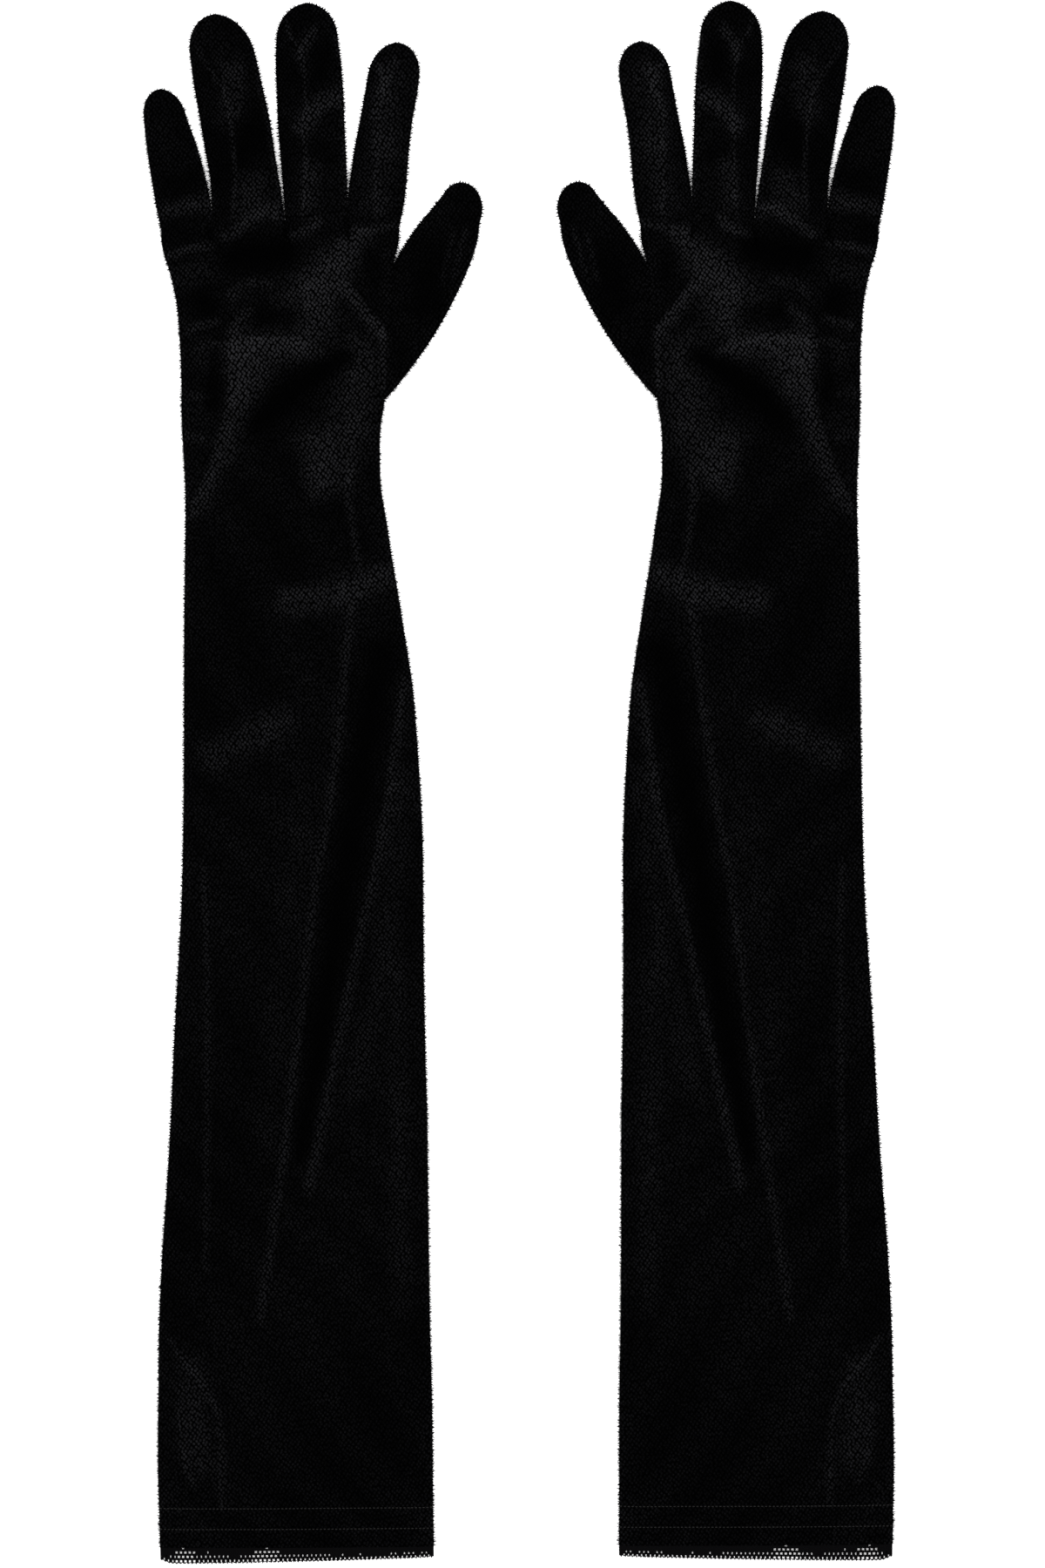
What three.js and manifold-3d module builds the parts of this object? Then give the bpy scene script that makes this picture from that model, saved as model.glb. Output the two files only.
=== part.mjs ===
// A pair of elbow-length-plus opera gloves in stretch velvet, lying palm down side by side.
// Units are millimetres. +X runs to the right across the pair, +Y towards the fingertips, +Z up.
// The origin is the middle of the pair's outline, on the surface that the gloves lie on.
// Each glove is drawn once in "glove space": u is the distance from the line between the gloves
// (the thumb is on the low side) and y is the distance from the cuff edge.
import * as THREE from 'three';
import { mergeVertices } from 'three/addons/utils/BufferGeometryUtils.js';
import Module from 'manifold-3d';

const wasm = await Module();
wasm.setup();

// ---- Driving dimensions ----
const OVERALL_LENGTH = 596.7;
const GAP = 0.3; // running gap between neighbouring pieces
const WALL = 1.2; // thickness of the velvet
const ELASTIC_THICKNESS = 0.8;
const ARM_HALF_HEIGHT = 5.3;
const HAND_HALF_HEIGHT = 4.9;
const STALL_HALF_HEIGHT = 4.6;
const FLAT_SHARE = 0.9; // the underside is flattened at this share of the half height
const LATERAL_POWER = 0.45; // section shape, 1 is an ellipse and 0 a box
const VERTICAL_POWER = 0.6;
const ARM_SEGMENTS = 16;
const STALL_SEGMENTS = 12;
const MERGE_TOLERANCE = 1e-4;
const LOWER_STATION = 0.2;
const STRIP_ROOT_OVERRUN = -0.04;
const STRIP_OUTSIDE = 4;
const CUTTER_DEPTH = 30;
const CUTTER_START = -10;
const THUMB_TOOL_DEPTH = 12;
const DOME_STEPS = 3;

const RAW_EDGE_LENGTH = 6; // unhemmed net strip at the arm opening
const ELASTIC_FROM = 13.2;
const ELASTIC_TO = 21;
const ELBOW_Y = 155;
const WRIST_Y = 405;
const FINGER_LINE_Y = 514;
const THUMB_LINE = [new THREE.Vector2(52, 444), new THREE.Vector2(49.1, 496)];
const THUMB_HOLE_MARGIN = 8; // cloth left at each end of the thumb hole
const THUMB_HOLE_HEIGHT = 5;

// Outline of the arm and hand: distance from the cuff edge, inner u, outer u.
const ARM_OUTLINE = [
  [0, 35.3, 140.3], [38, 35.7, 141], [91, 36.5, 140.4], [144, 37, 137.1], [198, 37.9, 134.2],
  [251, 38.3, 130.9], [291, 38.8, 130], [331, 41.6, 129.6], [358, 45.4, 129.4], [384, 49.6, 129],
  [414, 54, 128.8], [434, 54, 129.8], [444, 52, 130], [496, 49.1, 134.4], [514, 45.6, 138.3],
];

// Each finger stall: base corners on the finger line, tip, and half widths low and high on it.
const FINGERS = [
  { name: 'index', base: [45.7, 66.1], tip: [46.6, 581.7], low: 10.3, high: 9.6, gussets: [1] },
  { name: 'middle', base: [66.4, 89.5], tip: [81.3, OVERALL_LENGTH], low: 12.7, high: 12.3, gussets: [-1, 1] },
  { name: 'ring', base: [89.9, 117.6], tip: [115.4, 592.3], low: 13.1, high: 12.6, gussets: [-1, 1] },
  { name: 'little', base: [118.9, 138.2], tip: [136.7, 563.7], low: 9.7, high: 9.3, gussets: [-1] },
];
const FINGER_FULL_WIDTH_AT = 0.4; // share of its length where a stall reaches its own direction
const GUSSET_WIDTH = 5; // how far a fourchette reaches in over the finger's face
const GUSSET_SHARE = 0.84; // share of the finger's length that a fourchette runs

// Thumb stall: matching points of its lower and upper edge, from the thumb hole to the last one.
const THUMB_EDGES = [
  [[43, 456], [47.3, 498.7]], [[35, 467], [45.4, 502.4]], [[27.5, 479.3], [42, 507.8]],
  [[20.9, 492.7], [38, 513.2]], [[16.6, 504.5], [33.6, 518.4]], [[15, 513.5], [29.2, 522.8]],
];
const THUMB_DOME = 7;

// ---- Materials ----
const velvet = new THREE.MeshStandardMaterial({ color: 0x0b0b0d, roughness: 0.85, metalness: 0 });
const gussetVelvet = new THREE.MeshStandardMaterial({ color: 0x121215, roughness: 0.85, metalness: 0 });
const knitNet = new THREE.MeshStandardMaterial({ color: 0x17171a, roughness: 0.9, metalness: 0 });
const elasticTape = new THREE.MeshStandardMaterial({ color: 0x1c1c20, roughness: 0.7, metalness: 0 });

// ---- Sections ----
// A station is one flattened-tube section: plan centre, half chord vector, half height and mid height.
function station(centre, halfChord, halfHeight, midHeight) {
  return { centre, halfChord, halfHeight, midHeight };
}

function insetStation(source, inset) {
  const half = source.halfChord.length();
  const halfChord = source.halfChord.clone().multiplyScalar((half - inset) / half);
  return station(source.centre.clone(), halfChord, source.halfHeight - inset, source.midHeight);
}

function signedPower(value, power) {
  return Math.sign(value) * Math.abs(value) ** power;
}

function sectionPoint(at, turn) {
  const lateral = signedPower(Math.sin(turn), LATERAL_POWER);
  const vertical = Math.max(signedPower(Math.cos(turn), VERTICAL_POWER), -FLAT_SHARE);
  const plan = at.centre.clone().addScaledVector(at.halfChord, lateral);
  return new THREE.Vector3(plan.x, plan.y, at.midHeight + at.halfHeight * vertical);
}

// Merges shared corners and drops the empty triangles at the poles of a turned shape.
function welded(geometry) {
  geometry.deleteAttribute('normal');
  geometry.deleteAttribute('uv');
  const merged = mergeVertices(geometry, MERGE_TOLERANCE);
  const kept = [];
  const index = merged.index.array;
  for (let i = 0; i < index.length; i += 3) {
    const [a, b, c] = [index[i], index[i + 1], index[i + 2]];
    if (a !== b && b !== c && c !== a) {
      kept.push(a, b, c);
    }
  }
  merged.setIndex(kept);
  return merged;
}

function signedVolume(geometry) {
  const position = geometry.attributes.position;
  const index = geometry.index.array;
  const corner = [new THREE.Vector3(), new THREE.Vector3(), new THREE.Vector3()];
  let sum = 0;
  for (let i = 0; i < index.length; i += 3) {
    corner.forEach((point, k) => point.fromBufferAttribute(position, index[i + k]));
    sum += corner[0].dot(corner[1].clone().cross(corner[2]));
  }
  return sum / 6;
}

function facingOut(geometry) {
  if (signedVolume(geometry) < 0) {
    geometry.setIndex(Array.from(geometry.index.array).reverse());
  }
  return geometry;
}

// A cloth tube of one wall: outer and inner stations run from the open base to the far end.
// With tips given, the far end is closed by a pole outside and one inside.
function shell(outer, inner, segments, tips = null) {
  const rows = tips
    ? [tips[0], ...outer.slice().reverse(), ...inner, tips[1]]
    : [...outer, ...inner.slice().reverse(), outer[0]];
  const profile = rows.map((row, k) => new THREE.Vector2(row.isVector3 ? 0 : 1, k));
  const geometry = new THREE.LatheGeometry(profile, segments);
  const position = geometry.attributes.position;
  for (let k = 0; k < position.count; k += 1) {
    const row = rows[k % rows.length];
    const turn = (2 * Math.PI * (Math.floor(k / rows.length) % segments)) / segments;
    const point = row.isVector3 ? row : sectionPoint(row, turn);
    position.setXYZ(k, point.x, point.y, point.z);
  }
  return facingOut(welded(geometry));
}

function outlineAt(y) {
  const above = Math.max(1, ARM_OUTLINE.findIndex((row) => row[0] >= y));
  const [low, high] = [ARM_OUTLINE[above - 1], ARM_OUTLINE[above]];
  const share = (y - low[0]) / (high[0] - low[0]);
  return [THREE.MathUtils.lerp(low[1], high[1], share), THREE.MathUtils.lerp(low[2], high[2], share)];
}

function armStation(y, halfHeight) {
  const [inner, outer] = outlineAt(y);
  const centre = new THREE.Vector2((inner + outer) / 2, y);
  const halfChord = new THREE.Vector2((outer - inner) / 2, 0);
  return station(centre, halfChord, halfHeight, halfHeight * FLAT_SHARE);
}

// Part of the arm or hand between two distances from the cuff edge, with its own stack of insets.
function armTube(fromY, toY, heightFrom, heightTo, outerInset = 0, thickness = WALL) {
  const between = ARM_OUTLINE.map((row) => row[0]).filter((y) => y > fromY + 1 && y < toY - 1);
  const outer = [fromY, ...between, toY].map((y) => {
    const share = (y - fromY) / (toY - fromY);
    return armStation(y, THREE.MathUtils.lerp(heightFrom, heightTo, share));
  });
  return shell(
    outer.map((row) => insetStation(row, outerInset)),
    outer.map((row) => insetStation(row, outerInset + thickness)),
    ARM_SEGMENTS,
  );
}

// ---- Finger stalls ----
function fingerFrame(finger) {
  const foot = new THREE.Vector2((finger.base[0] + finger.base[1]) / 2, FINGER_LINE_Y + GAP);
  const tip = new THREE.Vector2(...finger.tip);
  const along = tip.clone().sub(foot);
  const length = along.length();
  along.normalize();
  return { foot, along, length, baseHalf: (finger.base[1] - finger.base[0]) / 2 };
}

// The section of a finger stall at a share of its length, before its rounded tip.
function fingerStation(finger, share, inset) {
  const { foot, along, length, baseHalf } = fingerFrame(finger);
  const straight = THREE.MathUtils.smoothstep(share, 0, FINGER_FULL_WIDTH_AT);
  const lean = Math.atan2(along.x, along.y) * straight;
  const upper = THREE.MathUtils.clamp((share - FINGER_FULL_WIDTH_AT) / (1 - FINGER_FULL_WIDTH_AT), 0, 1);
  const full = THREE.MathUtils.lerp(finger.low, finger.high, upper);
  const half = THREE.MathUtils.lerp(baseHalf, full, straight) - inset;
  const halfChord = new THREE.Vector2(Math.cos(lean), -Math.sin(lean)).multiplyScalar(half);
  const centre = foot.clone().addScaledVector(along, share * length);
  return station(centre, halfChord, STALL_HALF_HEIGHT - inset, STALL_HALF_HEIGHT * FLAT_SHARE);
}

// Rounds the end of a stall: sections shrink along a quarter ellipse up to the pole.
function domeStations(last, towards, reach) {
  const rows = [];
  for (let step = 1; step < DOME_STEPS; step += 1) {
    const angle = (Math.PI / 2) * (step / DOME_STEPS);
    const shrink = Math.cos(angle);
    const centre = last.centre.clone().addScaledVector(towards, reach * Math.sin(angle));
    const halfChord = last.halfChord.clone().multiplyScalar(shrink);
    rows.push(station(centre, halfChord, last.halfHeight * shrink, last.midHeight));
  }
  return rows;
}

function poleOf(last, towards, reach) {
  const plan = last.centre.clone().addScaledVector(towards, reach);
  return new THREE.Vector3(plan.x, plan.y, last.midHeight);
}

function fingerShell(finger) {
  const { along, length } = fingerFrame(finger);
  const domeFrom = 1 - finger.high / length;
  const shares = [0, LOWER_STATION, FINGER_FULL_WIDTH_AT, domeFrom];
  const outer = shares.map((share) => fingerStation(finger, share, 0));
  const inner = shares.map((share) => fingerStation(finger, share, WALL));
  const tips = [outer, inner].map((rows, k) => poleOf(rows.at(-1), along, finger.high - k * WALL));
  outer.push(...domeStations(outer.at(-1), along, finger.high));
  inner.push(...domeStations(inner.at(-1), along, finger.high - WALL));
  return shell(outer, inner, STALL_SEGMENTS, tips);
}

// Upright prism over the strip along one side of a finger, as far in as the given width.
function gussetPrism(finger, side, width, share) {
  const shares = [STRIP_ROOT_OVERRUN, 0, LOWER_STATION, FINGER_FULL_WIDTH_AT, share];
  const edge = (at, offset) => {
    const row = fingerStation(finger, Math.max(at, 0), 0);
    const across = row.halfChord.clone().normalize().multiplyScalar(side);
    const { foot, along, length } = fingerFrame(finger);
    const centre = foot.clone().addScaledVector(along, at * length);
    return centre.addScaledVector(across, row.halfChord.length() + offset);
  };
  const outline = [...shares.map((at) => edge(at, STRIP_OUTSIDE)), ...shares.toReversed().map((at) => edge(at, -width))];
  const prism = new THREE.ExtrudeGeometry(new THREE.Shape(outline), { depth: CUTTER_DEPTH, bevelEnabled: false });
  prism.translate(0, 0, CUTTER_START);
  return facingOut(welded(prism));
}

// ---- Thumb stall ----
function thumbStations(inset) {
  const base = THUMB_LINE.map((corner) => [corner.x - GAP, corner.y]);
  const rows = [base, ...THUMB_EDGES].map(([lower, upper]) => {
    const a = new THREE.Vector2(...lower);
    const b = new THREE.Vector2(...upper);
    const centre = a.clone().add(b).multiplyScalar(0.5);
    const halfChord = b.clone().sub(a).multiplyScalar(0.5);
    return station(centre, halfChord, STALL_HALF_HEIGHT, STALL_HALF_HEIGHT * FLAT_SHARE);
  });
  return rows.map((row) => insetStation(row, inset));
}

function thumbShell() {
  const outer = thumbStations(0);
  const inner = thumbStations(WALL);
  const across = outer.at(-1).halfChord.clone().normalize();
  const towards = new THREE.Vector2(-across.y, across.x);
  const tips = [outer, inner].map((rows, k) => poleOf(rows.at(-1), towards, THUMB_DOME - k * WALL));
  outer.push(...domeStations(outer.at(-1), towards, THUMB_DOME));
  inner.push(...domeStations(inner.at(-1), towards, THUMB_DOME - WALL));
  return shell(outer, inner, STALL_SEGMENTS, tips);
}

// Upright-sided slot through the hand's thumb-side wall, in line with the thumb's base.
function thumbHoleTool() {
  const [low, high] = THUMB_LINE;
  const run = high.clone().sub(low);
  const tool = new THREE.BoxGeometry(THUMB_TOOL_DEPTH, run.length() - 2 * THUMB_HOLE_MARGIN, THUMB_HOLE_HEIGHT);
  tool.rotateZ(Math.atan2(-run.x, run.y));
  tool.translate((low.x + high.x) / 2, (low.y + high.y) / 2, HAND_HALF_HEIGHT * FLAT_SHARE);
  return welded(tool);
}

// ---- Booleans ----
function toManifold(geometry) {
  return new wasm.Manifold(new wasm.Mesh({
    numProp: 3,
    vertProperties: new Float32Array(geometry.attributes.position.array),
    triVerts: new Uint32Array(geometry.index.array),
  }));
}

function fromManifold(solid) {
  const mesh = solid.getMesh();
  const geometry = new THREE.BufferGeometry();
  geometry.setAttribute('position', new THREE.BufferAttribute(new Float32Array(mesh.vertProperties), 3));
  geometry.setIndex(Array.from(mesh.triVerts));
  return geometry;
}

function cut(geometry, tool) {
  return fromManifold(toManifold(geometry).subtract(toManifold(tool)));
}

function common(geometry, tool) {
  return fromManifold(toManifold(geometry).intersect(toManifold(tool)));
}

// ---- Assembly ----
const gloves = new THREE.Group();

// Places a piece drawn in glove space on the left (side -1) or right (side 1) of the pair.
function addPiece(side, name, geometry, material) {
  const placed = geometry.clone();
  placed.scale(side, 1, 1);
  placed.translate(0, -OVERALL_LENGTH / 2, 0);
  facingOut(placed);
  placed.computeVertexNormals();
  const mesh = new THREE.Mesh(placed, material);
  mesh.name = `${side < 0 ? 'left' : 'right'}_${name}`;
  gloves.add(mesh);
}

function addFinger(side, finger) {
  const whole = fingerShell(finger);
  let stall = whole;
  for (const flank of finger.gussets) {
    const strip = common(whole, gussetPrism(finger, flank, GUSSET_WIDTH, GUSSET_SHARE));
    const cutShare = GUSSET_SHARE + GAP / fingerFrame(finger).length;
    stall = cut(stall, gussetPrism(finger, flank, GUSSET_WIDTH + GAP, cutShare));
    const flankName = flank < 0 ? 'thumbward' : 'outward';
    addPiece(side, `${finger.name}_${flankName}_fourchette`, strip, gussetVelvet);
  }
  addPiece(side, `${finger.name}_stall`, stall, velvet);
}

function addGlove(side) {
  const high = ARM_HALF_HEIGHT;
  const hand = armTube(WRIST_Y + GAP / 2, FINGER_LINE_Y, HAND_HALF_HEIGHT, HAND_HALF_HEIGHT);
  addPiece(side, 'raw_edge', armTube(0, RAW_EDGE_LENGTH, high, high), knitNet);
  addPiece(side, 'upper_sleeve', armTube(RAW_EDGE_LENGTH + GAP, ELBOW_Y - GAP / 2, high, high), velvet);
  addPiece(side, 'grip_elastic', armTube(
    ELASTIC_FROM, ELASTIC_TO, high, high, WALL + GAP, ELASTIC_THICKNESS), elasticTape);
  addPiece(side, 'forearm_sleeve', armTube(
    ELBOW_Y + GAP / 2, WRIST_Y - GAP / 2, high, HAND_HALF_HEIGHT), velvet);
  addPiece(side, 'hand_shell', cut(hand, thumbHoleTool()), velvet);
  addPiece(side, 'thumb_stall', thumbShell(), velvet);
  FINGERS.forEach((finger) => addFinger(side, finger));
}

addGlove(-1);
addGlove(1);

export default gloves;
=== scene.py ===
"""A pair of long velvet opera gloves, lying palm down on a pale floor.

Each glove is laid out in its own flat pattern space, in millimetres: u is the distance from the
line between the two gloves, with the thumb on the low side, v is the distance from the cuff edge
and h is the height above the floor. Finished meshes are in metres, in the frame's own axes.
"""
import logging
import math
from dataclasses import dataclass, field
from enum import Enum
from typing import Callable

import bmesh
import bpy
import numpy as np
from mathutils import Matrix, Vector


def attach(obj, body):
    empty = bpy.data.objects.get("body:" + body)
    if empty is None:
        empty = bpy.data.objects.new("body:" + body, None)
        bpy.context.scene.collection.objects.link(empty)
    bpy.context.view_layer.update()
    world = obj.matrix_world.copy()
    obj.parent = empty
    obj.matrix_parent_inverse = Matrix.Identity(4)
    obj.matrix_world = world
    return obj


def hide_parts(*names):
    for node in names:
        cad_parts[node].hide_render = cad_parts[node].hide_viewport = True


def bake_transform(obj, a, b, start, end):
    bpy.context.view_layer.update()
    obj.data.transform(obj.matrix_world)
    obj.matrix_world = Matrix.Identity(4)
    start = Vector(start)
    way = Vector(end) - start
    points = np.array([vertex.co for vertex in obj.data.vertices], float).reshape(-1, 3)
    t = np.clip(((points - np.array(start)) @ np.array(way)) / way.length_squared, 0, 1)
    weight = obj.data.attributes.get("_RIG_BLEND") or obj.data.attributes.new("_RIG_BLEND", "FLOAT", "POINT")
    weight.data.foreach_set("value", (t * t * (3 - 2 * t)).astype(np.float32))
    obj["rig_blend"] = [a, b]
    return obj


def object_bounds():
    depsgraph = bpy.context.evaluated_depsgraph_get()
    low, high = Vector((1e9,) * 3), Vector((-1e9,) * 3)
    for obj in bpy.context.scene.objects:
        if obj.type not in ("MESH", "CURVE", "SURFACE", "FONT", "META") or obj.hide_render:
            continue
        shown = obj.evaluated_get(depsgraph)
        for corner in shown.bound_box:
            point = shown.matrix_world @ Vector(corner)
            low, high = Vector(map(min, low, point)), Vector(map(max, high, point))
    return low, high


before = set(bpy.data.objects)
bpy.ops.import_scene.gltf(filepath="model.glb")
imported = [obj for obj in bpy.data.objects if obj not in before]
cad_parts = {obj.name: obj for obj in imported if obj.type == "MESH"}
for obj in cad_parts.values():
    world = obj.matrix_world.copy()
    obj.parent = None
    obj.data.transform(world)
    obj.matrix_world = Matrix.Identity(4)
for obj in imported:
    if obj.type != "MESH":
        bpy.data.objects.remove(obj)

log = logging.getLogger("opera_gloves")

MM = 0.001
CAD_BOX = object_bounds()
LENGTH_MM = (CAD_BOX[1].y - CAD_BOX[0].y) / MM

EDGE_HEIGHT = 3.2
UNDERSIDE = 0.15
CLOTH_THICKNESS = 0.9
CUFF_NET_END = 6.0
SLEEVE_SPLIT = 280.0
WRIST_SPLIT = 450.0
CROTCH_LINE = 511.0
STALL_COLUMNS = 24
UNDER_STRIP_COLUMNS = 4
JOIN_WITHIN = 4e-6
FLAT_SAMPLES = 201
SLEEVE_GIRTH = 2.06
RIM_FADE = 1.4
LOBE_REACH = 8.5
LOBE_CROWN = 5.0
CRISP_EDGE = 0.9
UNDER_NAP = 0.12
# Painted rim sheen: a lighter line of pile along each edge, fading inwards over RIM_FADE millimetres.
RIM_SHEEN_PAINT = 0.08
Shape = Callable[[np.ndarray, np.ndarray], tuple[np.ndarray, np.ndarray]]


class Side(Enum):
    """Which glove of the pair, as the sign of its place on the frame's X axis."""

    LEFT = -1
    RIGHT = 1

    @property
    def word(self) -> str:
        """The prefix of this glove's nodes and bodies."""
        return self.name.lower()


class Flank(Enum):
    """A side of a finger stall, as the sign of its place across the stall."""

    THUMBWARD = -1
    OUTWARD = 1


def smooth(value: np.ndarray | float) -> np.ndarray | float:
    """Eases a share from 0 to 1, flat at both ends."""
    held = np.clip(value, 0.0, 1.0)
    return held * held * (3.0 - 2.0 * held)


def through(points: list[tuple[float, ...]], count: int) -> np.ndarray:
    """Runs a smooth curve through a few points.

    Args:
        points: The points, each with the same number of coordinates.
        count: How many samples to take, evenly over the spans.

    Returns:
        An array of samples, one row each.
    """
    given = np.array(points, float)
    padded = np.vstack([2 * given[0] - given[1], given, 2 * given[-1] - given[-2]])
    at = np.linspace(0, len(given) - 1 - 1e-9, count)
    span = at.astype(int)
    t = (at - span)[:, None]
    a, b, c, d = (padded[span + k] for k in range(4))
    return 0.5 * (2 * b + (c - a) * t + (2 * a - 5 * b + 4 * c - d) * t**2 + (3 * b - a - 3 * c + d) * t**3)


def rounded(distance: np.ndarray, reach: float) -> np.ndarray:
    """Height share of a cloth edge that rolls over: 0 at the edge and 1 past its reach."""
    fall = np.clip(1.0 - distance / reach, 0.0, 1.0)
    return np.sqrt(1.0 - fall * fall)


def crowded(across: np.ndarray) -> np.ndarray:
    """Spreads even places from -1 to 1 so that they crowd towards both edges."""
    return across * (1.5 - 0.5 * across * across)


Path = tuple[tuple[float, float], ...]


def evened(across: np.ndarray) -> np.ndarray:
    """Undoes crowded, so that columns from -1 to 1 lie evenly."""
    return 2 * np.sin(np.arcsin(np.clip(across, -1, 1)) / 3)


@dataclass(frozen=True)
class Nearest:
    """How points of the pattern lie beside a path."""

    gap: np.ndarray
    side: np.ndarray
    share: np.ndarray


def beside(path: Path, u: np.ndarray, v: np.ndarray) -> Nearest:
    """Measures points of the pattern against a smooth path.

    Args:
        path: The points that the path runs through.
        u: Distances from the line between the gloves.
        v: Distances from the cuff edge.

    Returns:
        The distance to the path, the side (positive on its left) and the share along it.
    """
    line = through(list(path), 5 * len(path))
    best = np.full(u.shape, 1e9)
    side = np.zeros(u.shape)
    share = np.zeros(u.shape)
    spans = len(line) - 1
    for k in range(spans):
        start, run = line[k], line[k + 1] - line[k]
        size = float(run @ run) + 1e-9
        along = np.clip(((u - start[0]) * run[0] + (v - start[1]) * run[1]) / size, 0, 1)
        du = u - start[0] - along * run[0]
        dv = v - start[1] - along * run[1]
        gap = np.hypot(du, dv)
        nearer = gap < best
        best = np.where(nearer, gap, best)
        side = np.where(nearer, run[0] * dv - run[1] * du, side)
        share = np.where(nearer, (k + along) / spans, share)
    return Nearest(best, side, share)


def out_of_reach(path: Path, v: np.ndarray, reach: float) -> bool:
    """Whether a path lies wholly beyond the points' stretch of the glove."""
    marks = [point[1] for point in path]
    return max(marks) + reach < v.min() or min(marks) - reach > v.max()


@dataclass(frozen=True)
class Fold:
    """A crease in the upper cloth: a ridge along a path, with its own width on each side of it."""

    path: Path
    height: float
    left: float
    right: float

    def relief(self, u: np.ndarray, v: np.ndarray) -> np.ndarray:
        """The rise of the cloth, in millimetres, at points of the pattern."""
        if out_of_reach(self.path, v, 3 * max(self.left, self.right)):
            return np.zeros(u.shape)
        near = beside(self.path, u, v)
        ends = smooth(np.minimum(near.share, 1 - near.share) * 4.0)
        wide = np.where(near.side > 0, self.left, self.right)
        return self.height * np.exp(-((near.gap / wide) ** 2)) * ends


class Crisp(Enum):
    """The side of a painted sheen stroke that ends crisply, seen along its path."""

    NONE = 0
    LEFT = 1
    RIGHT = -1


@dataclass(frozen=True)
class PaintedSheenStroke:
    """A stroke of painted sheen on the pile; with a negative gain it is painted shade instead."""

    path: Path
    widths: tuple[float, float]
    gain: float
    crisp: Crisp = Crisp.NONE

    def brushed(self, u: np.ndarray, v: np.ndarray) -> np.ndarray:
        """The painted sheen gain at points of the pattern, negative where it is painted shade."""
        if out_of_reach(self.path, v, 2 * max(self.widths)):
            return np.zeros(u.shape)
        near = beside(self.path, u, v)
        wide = self.widths[0] + (self.widths[1] - self.widths[0]) * near.share
        wide = np.where(near.side * self.crisp.value > 0, CRISP_EDGE, wide)
        return self.gain * np.exp(-((near.gap / wide) ** 2.4))


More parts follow.
